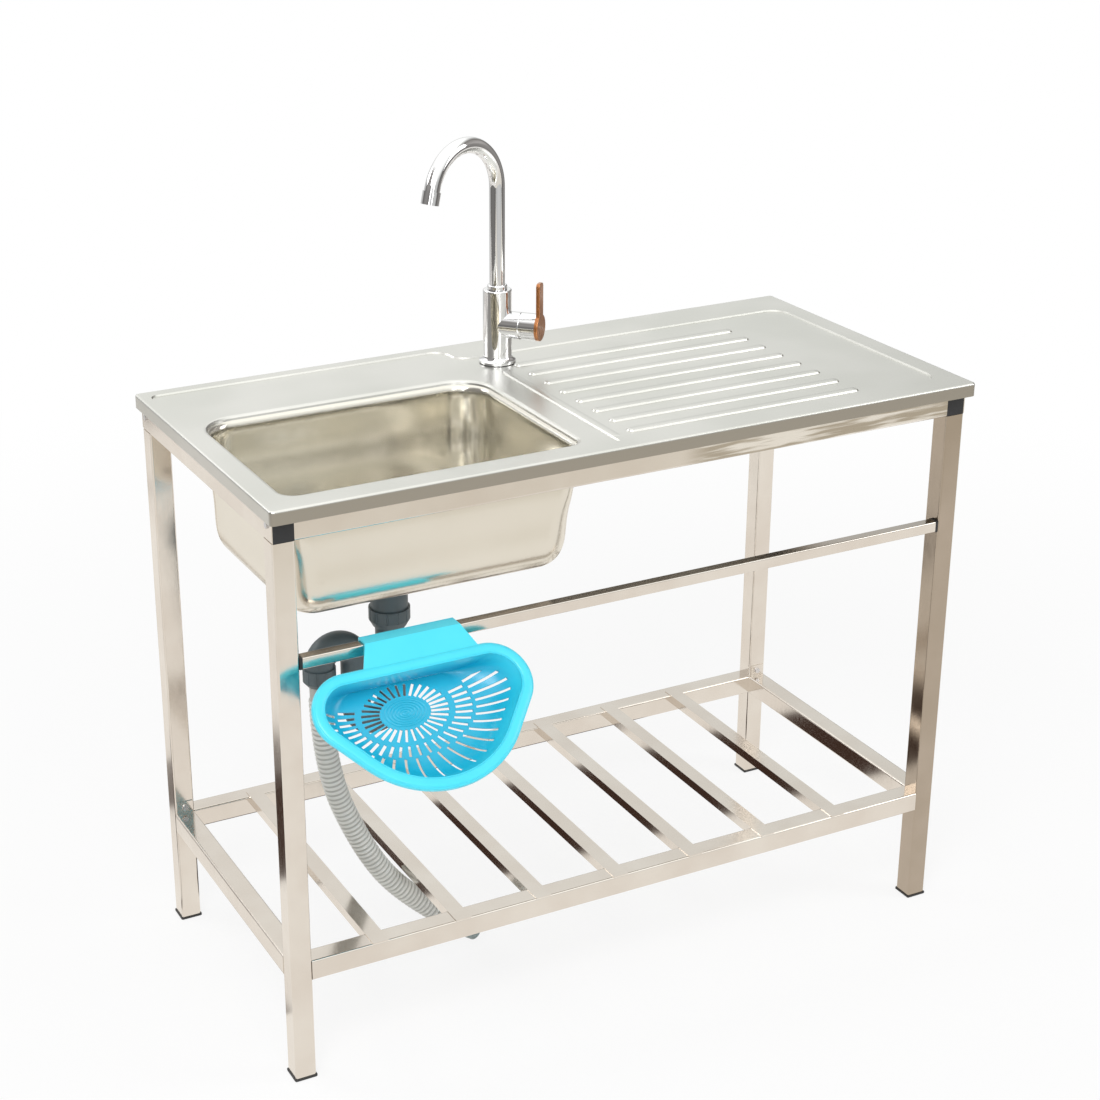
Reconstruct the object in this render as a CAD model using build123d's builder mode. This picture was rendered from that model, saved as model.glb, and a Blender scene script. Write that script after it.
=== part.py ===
from build123d import *

import os
from math import atan2, cos, degrees, radians, sin, sqrt, tan

# A free-standing kitchen sink unit: a worktop pressed with its drainer, a drawn bowl welded into it, on a
# knock-down frame of square steel tubes with a slatted shelf, with a single-lever swivel tap, an
# S-trap with a ribbed drain hose, and a strainer basket that hooks over the front cross rail.
# Millimetres, +X to the right, +Y to the back, +Z up. The origin is on the floor, under the middle
# of the space that the worktop and the basket in front of it take up.

# ---- Driving dimensions: worktop ----
worktop_length = 1000.0
worktop_depth = 480.0
worktop_height = 785.0
worktop_sheet = 1.0
worktop_corner = 6.0
worktop_roll = 3.0
fascia_height = 18.0
return_width = 24.0
panel_drop = 2.0
panel_slope = 40.0
panel_corner = 10.0
side_border = 16.0
front_border = 27.0
back_border = 20.0
bowl_panel_length = 454.0
ridge_width = 14.0
ridge_clearance = 18.0
tap_ledge_turn = 440.0
drainer_front_border = 40.0
drainer_back_border = 66.0
drainer_side_border = 32.0
drainer_corner = 24.0
flute_count = 8
flute_pitch = 43.0
flute_width = 15.0
flute_length = 350.0
flute_first = 16.0
flute_start = 15.0

# ---- Bowl ----
bowl_length = 394.0
bowl_width = 294.0
bowl_left = 36.0
bowl_front = 44.0
bowl_depth = 170.0
bowl_flare = 5.0
bowl_draft = 2.0
bowl_front_corner = 20.0
bowl_back_corner = 46.0
bowl_low_corner = 44.0
bowl_floor_round = 40.0
drain_dish_radius = 54.0
drain_seat_radius = 40.0
drain_dish_depth = 5.0
drain_hole_radius = 24.0
drain_shift_left = 5.5
drain_shift_front = 6.0

# ---- Frame ----
tube_size = 28.0
tube_wall = 1.2
tube_corner = 2.5
overhang_side = 6.0
overhang_front = 14.0
overhang_back = 10.0
spigot_length = 30.0
spigot_clearance = 0.15
foot_plate = 31.0
foot_height = 3.0
foot_plug = 14.0
cross_rail_size = 15.0
cross_rail_top = 589.5
cross_rail_corner = 1.8
plug_flange = 4.0
shelf_height = 172.0
slat_count = 7
slat_pitch = 117.0
slat_first = 129.0
slat_width = 22.0
slat_depth = 12.0
slat_sheet = 1.0
slat_rear_tab = 16.0
tab_height = 18.0
tab_sheet = 1.5
screw_head_radius = 4.0
screw_head_height = 2.0
screw_radius = 1.9
screw_length = 10.0
screw_clearance = 0.1
screw_raise = 6.0
connector_round = 1.0

# ---- Tap ----
tap_from_left = 488.0
tap_from_front = 385.0
tap_gasket_height = 1.0
tap_ring_radius = 25.0
tap_ring_height = 9.0
tap_radius = 19.5
tap_height = 103.0
tap_hole_radius = 17.0
shank_radius = 15.0
shank_drop = 40.0
inlet_radius = 4.5
inlet_spacing = 11.0
inlet_offset = 7.5
inlet_depth = 15.0
fixing_washer_radius = 24.0
fixing_washer_height = 3.0
fixing_nut_width = 40.0
fixing_nut_height = 9.0
lever_height = 54.0
lever_bearing = -46.6
lever_radius = 18.5
lever_pivot = 34.0
lever_groove = 1.2
lever_hub_length = 24.0
lever_travel = 20.0
dome_radius = 16.5
dome_bore = 9.6
cavity_clearance = 0.4
cartridge_radius = 14.4
cartridge_start = 12.0
cartridge_end = 30.0
cartridge_bore_depth = 8.0
carrier_radius = 8.0
stem_width = 6.0
stem_height = 7.0
stem_tail = 3.0
pin_radius = 1.5
running_clearance = 0.05
paddle_thickness = 5.0
paddle_width = 17.0
paddle_reach = 62.0
spout_radius = 10.5
spout_wall = 1.5
spout_bearing = -158.0
spout_rise = 140.0
spout_bend = 65.0
spout_sweep = 165.0
spout_tip = 12.0
spout_socket = 26.0
spout_collar_radius = 13.5
spout_collar_height = 6.0
aerator_radius = 12.0
aerator_length = 17.0
aerator_collar = 11.0
aerator_holes = 8
aerator_hole_radius = 1.2
seat_gap = 0.3

# ---- Waste ----
flange_radius = 37.0
flange_sheet = 1.2
waste_tube_radius = 22.0
waste_tube_wall = 1.5
waste_tube_length = 34.0
thread_clearance = 0.15
seal_height = 3.0
seal_radius = 33.0
cup_flange_radius = 34.0
cup_flange_height = 5.0
cup_radius = 25.5
cup_length = 54.0
cup_band = 1.2
cup_band_height = 8.0
cup_wall = 3.0
trap_nut_radius = 27.0
trap_nut_height = 16.0
trap_nut_taper = 9.0
trap_spigot_length = 12.0
nut_flutes = 12
nut_flute_radius = 1.6
trap_radius = 19.0
trap_wall = 2.0
trap_bend = 25.0
trap_low_bend = 420.0
trap_crown_bend = 485.0
trap_outlet_end = 466.0
outlet_nut_radius = 21.5
outlet_nut_top = 485.0
outlet_nut_bottom = 461.0
outlet_nut_taper = 6.0
hose_radius = 15.5
hose_root_radius = 14.0
hose_bore_radius = 12.5
rib_pitch = 7.0
hose_cuff = 20.0
fitting_cuff_radius = 17.0
fitting_cuff_length = 12.0
fitting_tip_radius = 12.0
fitting_length = 46.0
fitting_bore_radius = 10.0
plug_rim_radius = 27.0
plug_rim_height = 1.6
plug_cup_radius = 18.0
plug_cup_depth = 14.0
plug_wall = 1.2
plug_hole_count = 8
plug_hole_radius = 2.0
plug_hole_circle = 11.0
rim_hole_circle = 21.0
knob_radius = 7.0
knob_height = 16.0
knob_round = 2.5

# ---- Strainer basket ----
basket_from_left = 180.0
basket_tilt = 42.0
basket_shift = 12.5
basket_span = 392.0
basket_apex = 276.15
basket_rim_back = 30.0
basket_back_corner = 50.0
basket_nose_radius = 128.0
basket_lip = 15.0
basket_lip_sheet = 2.4
basket_lip_height = 7.0
basket_lip_round = 3.0
basket_wall = 2.0
basket_depth = 42.0
basket_floor_scale = 0.58
basket_easing = 0.01
basket_floor_back = 41.0
basket_floor_shift = 14.0
saddle_width = 126.0
saddle_flare = 18.0
saddle_plate = 2.3
saddle_front = 24.0
saddle_rear = 18.0
slot_width = 3.6
slot_oval = 0.65
floor_slot_count = 32
floor_slot_inner = 33.0
floor_slot_outer = 57.0
wall_slot_count = 25
wall_slot_step = 9.0
wall_slot_inner = 65.0
wall_slot_split = 87.0
wall_slot_gap = 4.0
wall_slot_margin = 8.0

# ---- Places worked out from the driving dimensions ----
tilt = radians(basket_tilt)
saddle_stand = seat_gap + saddle_plate
nose_angle = atan2(basket_span / 2, basket_apex - basket_rim_back)
basket_rim_front = basket_apex - basket_nose_radius * (1 / sin(nose_angle) - 1)
tip_reach = basket_rim_front * cos(tilt) - basket_lip_round * (cos(tilt) + sin(tilt) - 1)
basket_reach = tip_reach + saddle_stand - overhang_front
left = -worktop_length / 2
right = worktop_length / 2
front = (basket_reach - worktop_depth) / 2
back = front + worktop_depth
fascia_bottom = worktop_height - fascia_height
panel_top = worktop_height - panel_drop
deck_underside = panel_top - worktop_sheet

rail_top = fascia_bottom
rail_bottom = rail_top - tube_size
frame_left = left + overhang_side
frame_right = right - overhang_side
frame_front = front + overhang_front
frame_back = back - overhang_back
inner_left = frame_left + tube_size
inner_right = frame_right - tube_size
inner_front = frame_front + tube_size
inner_back = frame_back - tube_size
leg_x = {"left": (frame_left + inner_left) / 2, "right": (frame_right + inner_right) / 2}
leg_y = {"front": (frame_front + inner_front) / 2, "back": (frame_back + inner_back) / 2}
tube_bore = tube_size - 2 * tube_wall

bowl_centre = (left + bowl_left + bowl_length / 2, front + bowl_front + bowl_width / 2)
bowl_floor = panel_top - bowl_depth
drain_x = bowl_centre[0] - drain_shift_left
drain_y = bowl_centre[1] - drain_shift_front
drain_seat = bowl_floor - drain_dish_depth

tap_x = left + tap_from_left
tap_y = front + tap_from_front
tap_base = panel_top + tap_gasket_height
tap_foot = tap_base + tap_ring_height
tap_top = panel_top + tap_height
lever_direction = (cos(radians(lever_bearing)), sin(radians(lever_bearing)), 0)
lever_axis = Plane(
    origin=(tap_x, tap_y, panel_top + lever_height), x_dir=(0, 0, 1), z_dir=lever_direction
)
spout_direction = (cos(radians(spout_bearing)), sin(radians(spout_bearing)), 0)
spout_side = (spout_direction[1], -spout_direction[0], 0)
spout_plane = Plane(origin=(tap_x, tap_y, tap_top), x_dir=spout_direction, z_dir=spout_side)

basket_x = left + basket_from_left
basket_hinge = (basket_x, frame_front - saddle_stand, cross_rail_top + saddle_stand)
basket_frame = Plane(origin=basket_hinge, x_dir=(1, 0, 0), z_dir=(0, -sin(tilt), cos(tilt)))

os.makedirs("parts", exist_ok=True)


def write(piece, name):
    """Label a finished piece and write it as a node of its own."""
    piece.part.label = name
    export_step(piece.part, f"parts/{name}.step")


# ---- Worktop ----
panel_left = left + side_border
panel_front = front + front_border
panel_back = back - back_border
ridge_left = panel_left + bowl_panel_length
ridge_right = ridge_left + ridge_width
ridge_back = tap_y - tap_ring_radius - ridge_clearance
drainer_front = front + drainer_front_border
drainer_back = back - drainer_back_border
drainer_right = right - drainer_side_border
ledge_turn = left + tap_ledge_turn


def panel_outline(height, grow):
    """Bowl panel and drainer as one sunk outline, joined round the back end of the ridge."""
    with BuildSketch(Plane.XY.offset(height)) as outline:
        with BuildLine():
            Polyline(
                (panel_left, panel_front),
                (ridge_left, panel_front),
                (ridge_left, ridge_back),
                (ridge_right, ridge_back),
                (ridge_right, drainer_front),
                (drainer_right, drainer_front),
                (drainer_right, drainer_back),
                (ledge_turn, drainer_back),
                (ledge_turn, panel_back),
                (panel_left, panel_back),
                close=True,
            )
        make_face()
        ridge_end = vertices().filter_by_position(Axis.Y, ridge_back - 0.1, ridge_back + 0.1)
        fillet(ridge_end, ridge_width / 2 - 0.5)
        far_end = vertices().filter_by_position(Axis.X, drainer_right - 0.1, drainer_right + 0.1)
        fillet(far_end, drainer_corner)
        ledge = vertices().filter_by_position(Axis.X, ledge_turn - 0.1, ledge_turn + 0.1)
        fillet(ledge, (panel_back - drainer_back) / 2 - 1)
        bowl_end = vertices().filter_by_position(Axis.X, panel_left - 0.1, panel_left + 0.1)
        fillet(bowl_end, panel_corner)
        if grow:
            offset(amount=grow)
    return outline.sketch


def flute_outlines(height, grow):
    """Raised drainer flutes, side by side across the drainer."""
    with BuildSketch(Plane.XY.offset(height)) as outlines:
        for row in range(flute_count):
            flute_y = drainer_front + flute_first + row * flute_pitch
            flute_x = ridge_right + flute_start + flute_length / 2
            with Locations((flute_x, flute_y)):
                SlotOverall(flute_length - 2 * grow, flute_width - 2 * grow)
    return outlines.sketch


def bowl_section(depth, inset, front_corner, back_corner):
    """One level of the bowl: a rectangle with tighter corners at the front than at the back."""
    with BuildSketch(Plane.XY.offset(panel_top - depth)) as section:
        with Locations(bowl_centre):
            Rectangle(bowl_length - 2 * inset, bowl_width - 2 * inset)
        fillet(vertices().group_by(Axis.Y)[0], front_corner)
        fillet(vertices().group_by(Axis.Y)[-1], back_corner)
    return section.sketch.face()


def bowl_mouth(grow):
    """The rolled mouth, a quarter turn from the panel down into the wall."""
    sections = []
    for turn in (0, 30, 60, 90):
        roll = bowl_flare - grow
        inset = bowl_flare - roll * sin(radians(turn))
        depth = bowl_flare - roll * cos(radians(turn))
        sections.append(
            bowl_section(depth, -inset, bowl_front_corner + inset, bowl_back_corner + inset)
        )
    loft(sections, ruled=True)


def bowl_body(grow):
    """The drafted walls, whose corners open out on the way down, and the rounded foot."""
    wall_end = bowl_depth - bowl_floor_round
    wall_run = wall_end - bowl_flare
    sections = []
    for share in (0, 1 / 3, 2 / 3, 1):
        inset = share * wall_run * tan(radians(bowl_draft)) - grow
        front_corner = bowl_front_corner + share * (bowl_low_corner - bowl_front_corner) + grow
        back_corner = bowl_back_corner + share * (bowl_low_corner - bowl_back_corner) + grow
        depth = bowl_flare + share * wall_run
        sections.append(bowl_section(depth, inset, front_corner, back_corner))
    wall_inset = wall_run * tan(radians(bowl_draft))
    for turn in (30, 60, 90):
        roll = bowl_floor_round + grow
        inset = wall_inset + bowl_floor_round - roll * cos(radians(turn))
        depth = wall_end + roll * sin(radians(turn))
        corner = bowl_low_corner - (inset - wall_inset)
        sections.append(bowl_section(depth, inset, corner, corner))
    loft(sections)


def drain_dish(grow, mode):
    """Shallow dish round the drain hole."""
    height = drain_dish_depth
    with Locations((drain_x, drain_y, drain_seat - grow + height / 2)):
        Cone(drain_seat_radius + grow, drain_dish_radius + grow, height, mode=mode)


def bowl_space(grow):
    """The space inside the bowl, or with growth the outside of its sheet."""
    with BuildPart() as space:
        bowl_mouth(grow)
        bowl_body(grow)
        drain_dish(grow, Mode.ADD)
    return space.part


def panel_space(grow):
    """The space over the sunk panels, flutes left standing in it."""
    floor = panel_top - grow
    with BuildPart() as space:
        extrude(panel_outline(floor, grow), amount=panel_drop + grow, taper=-panel_slope)
        extrude(
            flute_outlines(floor, grow), amount=panel_drop, taper=panel_slope, mode=Mode.SUBTRACT
        )
    return space.part


# The fascia turns in at its foot, and this return is what rests on the frame's upper rails.
with BuildPart() as underside:
    with BuildSketch(Plane.XY.offset(fascia_bottom + worktop_sheet)):
        with Locations((0, (front + back) / 2)):
            RectangleRounded(
                worktop_length - 2 * worktop_sheet,
                worktop_depth - 2 * worktop_sheet,
                worktop_corner - worktop_sheet,
            )
    extrude(amount=fascia_height - 2 * worktop_sheet)
    fillet(edges().group_by(Axis.Z)[-1], worktop_roll - worktop_sheet)
    with BuildSketch(Plane.XY.offset(fascia_bottom)):
        with Locations((0, (front + back) / 2)):
            Rectangle(worktop_length - 2 * return_width, worktop_depth - 2 * return_width)
    extrude(amount=worktop_sheet)
    add(panel_space(worktop_sheet), mode=Mode.SUBTRACT)
    add(bowl_space(worktop_sheet), mode=Mode.SUBTRACT)

with BuildPart() as pressing:
    with BuildSketch(Plane.XY.offset(fascia_bottom)):
        with Locations((0, (front + back) / 2)):
            RectangleRounded(worktop_length, worktop_depth, worktop_corner)
    extrude(amount=fascia_height)
    fillet(edges().group_by(Axis.Z)[-1], worktop_roll)
    add(bowl_space(worktop_sheet))
    add(underside.part, mode=Mode.SUBTRACT)
    add(panel_space(0), mode=Mode.SUBTRACT)
    add(bowl_space(0), mode=Mode.SUBTRACT)
    with Locations((drain_x, drain_y, drain_seat)):
        Cylinder(drain_hole_radius, 4 * worktop_sheet, mode=Mode.SUBTRACT)
    with Locations((tap_x, tap_y, panel_top)):
        Cylinder(tap_hole_radius, 4 * worktop_sheet, mode=Mode.SUBTRACT)

# The bowl is drawn by itself and welded edge to edge under the rolled mouth in the worktop.
with BuildPart() as below_weld:
    with Locations((*bowl_centre, panel_top - bowl_flare - bowl_depth)):
        Box(bowl_length + 3 * worktop_sheet, bowl_width + 3 * worktop_sheet, 2 * bowl_depth)

with BuildPart() as bowl:
    add(pressing.part)
    add(below_weld.part, mode=Mode.INTERSECT)
write(bowl, "bowl")

with BuildPart() as worktop:
    add(pressing.part)
    add(below_weld.part, mode=Mode.SUBTRACT)
write(worktop, "worktop")


# ---- Frame ----
def tube(name, plane, length, size=tube_size, corner=tube_corner):
    """A square tube that starts at a plane and runs along its normal."""
    bore = size - 2 * tube_wall
    with BuildPart() as piece:
        with BuildSketch(plane):
            RectangleRounded(size, size, corner)
            RectangleRounded(bore, bore, corner - tube_wall, mode=Mode.SUBTRACT)
        extrude(amount=length)
    write(piece, name)


def along_x(start, y, z):
    return Plane(origin=(start, y, z), x_dir=(0, 1, 0), z_dir=(1, 0, 0))


def along_y(x, start, z):
    return Plane(origin=(x, start, z), x_dir=(1, 0, 0), z_dir=(0, 1, 0))


def pan_screw(head_seat):
    """A pan-head screw: the plane is under its head and faces out."""
    with BuildSketch(head_seat) as head:
        Circle(screw_head_radius)
    extrude(head.sketch, amount=screw_head_height)
    with BuildSketch(head_seat) as shank:
        Circle(screw_radius)
    extrude(shank.sketch, amount=-screw_length)


def spigot(plane, length, bore=tube_bore, corner=tube_corner - tube_wall):
    """A square plug that fills a tube's bore with a little clearance."""
    size = bore - 2 * spigot_clearance
    with BuildSketch(plane) as section:
        RectangleRounded(size, size, corner)
    extrude(section.sketch, amount=length)


corners = [(side, end) for side in ("left", "right") for end in ("front", "back")]
toward = {"left": 1, "right": -1, "front": 1, "back": -1}
open_end = {"front": 0, "back": -1}
rail_middle = rail_bottom + tube_size / 2


def connector_seat(side, end):
    """Where a connector's screw sits, on the outer wall of the side rail."""
    origin = (leg_x[side] - toward[side] * tube_size / 2, leg_y[end], rail_middle + screw_raise)
    return Plane(origin=origin, z_dir=(-toward[side], 0, 0))


for side, end in corners:
    x = leg_x[side]
    y = leg_y[end]
    tab_seat = y + toward[end] * tube_size / 2
    with BuildPart() as leg:
        with BuildSketch(Plane.XY.offset(foot_height)):
            with Locations((x, y)):
                RectangleRounded(tube_size, tube_size, tube_corner)
                RectangleRounded(
                    tube_bore, tube_bore, tube_corner - tube_wall, mode=Mode.SUBTRACT
                )
        extrude(amount=rail_bottom - foot_height)
        with BuildSketch(along_y(x, tab_seat, shelf_height + tab_height / 2)):
            Circle(screw_radius + screw_clearance)
        extrude(amount=2 * tube_wall, both=True, mode=Mode.SUBTRACT)
    write(leg, f"leg_{end}_{side}")

    with BuildPart() as foot:
        with BuildSketch():
            with Locations((x, y)):
                RectangleRounded(foot_plate, foot_plate, tube_corner)
        extrude(amount=foot_height)
        chamfer(foot.edges().group_by(Axis.Z)[0], 1)
        spigot(Plane(origin=(x, y, foot_height)), foot_plug)
    write(foot, f"foot_cap_{end}_{side}")

    half = tube_size / 2
    with BuildPart() as connector:
        with Locations((x + toward[side] * tube_wall / 2, y, rail_middle)):
            Box(tube_size - tube_wall, tube_size, tube_size)
        open_face = connector.faces().sort_by(Axis.Y)[open_end[end]]
        fillet(open_face.edges().filter_by(Axis.X), connector_round)
        down = Plane(origin=(x, y, rail_bottom), x_dir=(1, 0, 0), z_dir=(0, 0, -1))
        inward = (toward[side], 0, 0)
        along = (0, toward[end], 0)
        spigot(down, spigot_length)
        spigot(Plane((x + toward[side] * half, y, rail_middle), (0, 1, 0), inward), spigot_length)
        spigot(Plane((x, y + toward[end] * half, rail_middle), (1, 0, 0), along), spigot_length)
        with BuildSketch(connector_seat(side, end)):
            Circle(screw_radius + screw_clearance)
        extrude(amount=-screw_length - 1, mode=Mode.SUBTRACT)
    write(connector, f"corner_connector_{end}_{side}")

with BuildPart() as connector_screws:
    for side, end in corners:
        pan_screw(connector_seat(side, end))
write(connector_screws, "connector_screws")

rail_span_x = inner_right - inner_left
rail_span_y = inner_back - inner_front
shelf_middle = shelf_height - tube_size / 2
for end in ("front", "back"):
    tube(f"upper_rail_{end}", along_x(inner_left, leg_y[end], rail_middle), rail_span_x)
    tube(f"shelf_rail_{end}", along_x(inner_left, leg_y[end], shelf_middle), rail_span_x)
# The outer wall of a side rail runs on over the outer faces of the two connectors.
for side in ("left", "right"):
    with BuildPart() as side_rail:
        with BuildSketch(along_y(leg_x[side], inner_front, rail_middle)):
            RectangleRounded(tube_size, tube_size, tube_corner)
            RectangleRounded(tube_bore, tube_bore, tube_corner - tube_wall, mode=Mode.SUBTRACT)
        extrude(amount=rail_span_y)
        with BuildSketch(along_y(leg_x[side], frame_front, rail_middle)):
            RectangleRounded(tube_size, tube_size, tube_corner)
            with Locations((toward[side] * tube_wall, 0)):
                Rectangle(tube_size, tube_size, mode=Mode.SUBTRACT)
        extrude(amount=frame_back - frame_front)
        for end in ("front", "back"):
            with BuildSketch(connector_seat(side, end)):
                Circle(screw_radius + screw_clearance)
            extrude(amount=-2 * tube_wall, mode=Mode.SUBTRACT)
    write(side_rail, f"upper_rail_{side}")

for side in ("left", "right"):
    with BuildPart() as shelf_rail:
        with BuildSketch(along_y(leg_x[side], inner_front, shelf_middle)):
            RectangleRounded(tube_size, tube_size, tube_corner)
            RectangleRounded(tube_bore, tube_bore, tube_corner - tube_wall, mode=Mode.SUBTRACT)
        extrude(amount=rail_span_y)
        for end in ("front", "back"):
            seat = leg_y[end] + toward[end] * tube_size / 2
            tab_top = shelf_height + tab_height
            tab_foot = shelf_height - tube_wall
            with Locations(
                (leg_x[side], seat + toward[end] * tab_sheet / 2, (tab_top + tab_foot) / 2)
            ):
                Box(tube_size - 2 * tube_corner, tab_sheet, tab_top - tab_foot)
            with BuildSketch(along_y(leg_x[side], seat, shelf_height + tab_height / 2)):
                Circle(screw_radius + screw_clearance)
            extrude(amount=2 * tab_sheet, both=True, mode=Mode.SUBTRACT)
    write(shelf_rail, f"shelf_rail_{side}")

with BuildPart() as shelf_screws:
    for side, end in corners:
        seat = leg_y[end] + toward[end] * (tube_size / 2 + tab_sheet)
        pan_screw(
            Plane(
                origin=(leg_x[side], seat, shelf_height + tab_height / 2),
                z_dir=(0, toward[end], 0),
            )
        )
write(shelf_screws, "shelf_screws")

for number in range(slat_count):
    slat_x = left + slat_first + number * slat_pitch
    with BuildPart() as slat:
        top_front = frame_front
        top_back = inner_back + slat_rear_tab
        with Locations((slat_x, (top_front + top_back) / 2, shelf_height + slat_sheet / 2)):
            Box(slat_width, top_back - top_front, slat_sheet)
        for edge in (-1, 1):
            wall_x = slat_x + edge * (slat_width - slat_sheet) / 2
            with Locations((wall_x, (inner_front + inner_back) / 2, shelf_height - slat_depth / 2)):
                Box(slat_sheet, rail_span_y, slat_depth)
    write(slat, f"shelf_slat_{number + 1}")

# Front cross rail, held between the legs by a plug in each end.
cross_middle = cross_rail_top - cross_rail_size / 2
cross_y = frame_front + cross_rail_size / 2
cross_start = inner_left + plug_flange
tube(
    "cross_rail",
    along_x(cross_start, cross_y, cross_middle),
    rail_span_x - 2 * plug_flange,
    cross_rail_size,
    cross_rail_corner,
)
cross_bore = cross_rail_size - 2 * tube_wall
for side, face in (("left", inner_left), ("right", inner_right)):
    with BuildPart() as plug:
        with Locations((face + toward[side] * plug_flange / 2, cross_y, cross_middle)):
            Box(plug_flange, cross_rail_size, cross_rail_size)
        end_face = (face + toward[side] * plug_flange, cross_y, cross_middle)
        spigot(
            Plane(origin=end_face, x_dir=(0, 1, 0), z_dir=(toward[side], 0, 0)),
            foot_plug,
            cross_bore,
            cross_rail_corner - tube_wall,
        )
    write(plug, f"cross_rail_plug_{side}")


# ---- Tap ----
def ring(inner, outer, bottom, top, x, y):
    """A plain ring or washer on a vertical axis."""
    with BuildSketch(Plane.XY.offset(bottom)) as section:
        with Locations((x, y)):
            Circle(outer)
            Circle(inner, mode=Mode.SUBTRACT)
    extrude(section.sketch, amount=top - bottom)


with BuildPart() as tap_gasket:
    ring(tap_hole_radius, tap_ring_radius - 1, panel_top, tap_base, tap_x, tap_y)
write(tap_gasket, "tap_gasket")

tap_section = Plane(origin=(tap_x, tap_y, 0), x_dir=(1, 0, 0), z_dir=(0, -1, 0))
tap_line = Axis((tap_x, tap_y, 0), (0, 0, 1))
with BuildPart() as tap_ring:
    with BuildSketch(tap_section):
        with BuildLine():
            low = (tap_ring_radius, tap_base + 3)
            high = (tap_radius + 0.5, tap_foot)
            Polyline((shank_radius + thread_clearance, tap_base), (tap_ring_radius, tap_base), low)
            RadiusArc(low, high, 9)
            inner_top = (shank_radius + thread_clearance, tap_foot)
            Polyline(high, inner_top, (shank_radius + thread_clearance, tap_base))
        make_face()
    revolve(axis=tap_line)
write(tap_ring, "tap_base_ring")

socket_radius = spout_radius + running_clearance
with BuildPart() as tap_body:
    with BuildSketch(Plane.XY.offset(tap_foot)):
        with Locations((tap_x, tap_y)):
            Circle(tap_radius)
    extrude(amount=tap_top - tap_foot)
    fillet(tap_body.edges().group_by(Axis.Z)[-1], 2)
    with BuildSketch(lever_axis):
        Circle(lever_radius)
    extrude(amount=lever_pivot)
    with BuildSketch(lever_axis.offset(cartridge_start)):
        Circle(cartridge_radius + thread_clearance)
    extrude(amount=lever_pivot, mode=Mode.SUBTRACT)
    with BuildSketch(Plane.XY.offset(tap_top)):
        with Locations((tap_x, tap_y)):
            Circle(socket_radius)
    extrude(amount=-spout_socket - 1, mode=Mode.SUBTRACT)
write(tap_body, "tap_body")

with BuildPart() as tap_shank:
    with BuildSketch(Plane.XY.offset(deck_underside - shank_drop)):
        with Locations((tap_x, tap_y)):
            Circle(shank_radius)
    extrude(amount=tap_foot - deck_underside + shank_drop)
    with BuildSketch(Plane.XY.offset(deck_underside - shank_drop)):
        with Locations((tap_x + inlet_offset, tap_y)):
            with GridLocations(1, inlet_spacing, 1, 2):
                Circle(inlet_radius)
    extrude(amount=inlet_depth, mode=Mode.SUBTRACT)
write(tap_shank, "tap_shank")

washer_bottom = deck_underside - fixing_washer_height
with BuildPart() as tap_washer:
    ring(
        shank_radius + thread_clearance,
        fixing_washer_radius,
        washer_bottom,
        deck_underside,
        tap_x,
        tap_y,
    )
write(tap_washer, "tap_fixing_washer")

with BuildPart() as tap_nut:
    with BuildSketch(Plane.XY.offset(washer_bottom - fixing_nut_height)):
        with Locations((tap_x, tap_y)):
            RegularPolygon(fixing_nut_width / 2, 6, major_radius=False)
            Circle(shank_radius + thread_clearance, mode=Mode.SUBTRACT)
    extrude(amount=fixing_nut_height)
write(tap_nut, "tap_fixing_nut")

# Cartridge in the branch: the carrier turns in it for warm and cold, and the lever tilts on the
# carrier's pin for flow.
with BuildPart() as cartridge:
    with BuildSketch(lever_axis.offset(cartridge_start)):
        Circle(cartridge_radius)
    extrude(amount=cartridge_end - cartridge_start)
    with BuildSketch(lever_axis.offset(cartridge_end)):
        Circle(carrier_radius + running_clearance)
    extrude(amount=-cartridge_bore_depth, mode=Mode.SUBTRACT)
write(cartridge, "cartridge")

pivot_plane = lever_axis.offset(lever_pivot)
with BuildPart() as dome:
    with Locations(pivot_plane):
        Sphere(dome_radius)
    with BuildSketch(pivot_plane):
        Circle(2 * dome_radius)
    extrude(amount=-2 * dome_radius, mode=Mode.SUBTRACT)
    with BuildSketch(lever_axis.offset(cartridge_end)):
        Circle(cartridge_radius)
    extrude(amount=lever_pivot - cartridge_end)
    with BuildSketch(lever_axis.offset(cartridge_end)):
        Circle(dome_bore)
    extrude(amount=lever_pivot - cartridge_end + dome_radius, mode=Mode.SUBTRACT)
write(dome, "cartridge_dome")

carrier_start = cartridge_end - cartridge_bore_depth + seat_gap
slot_start = lever_pivot - stem_tail - 2
carrier_end = lever_pivot + stem_tail + 2
with BuildPart() as carrier:
    with BuildSketch(lever_axis.offset(carrier_start)):
        Circle(carrier_radius)
    extrude(amount=carrier_end - carrier_start)
    with BuildSketch(lever_axis.offset(slot_start)):
        Rectangle(2 * carrier_radius, stem_width + 2 * running_clearance)
    extrude(amount=carrier_end - slot_start, mode=Mode.SUBTRACT)
    with BuildSketch(Plane(origin=pivot_plane.origin, x_dir=(0, 0, 1), z_dir=pivot_plane.y_dir)):
        Circle(pin_radius)
    extrude(amount=carrier_radius - 1, both=True)
write(carrier, "cartridge_carrier")

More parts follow.
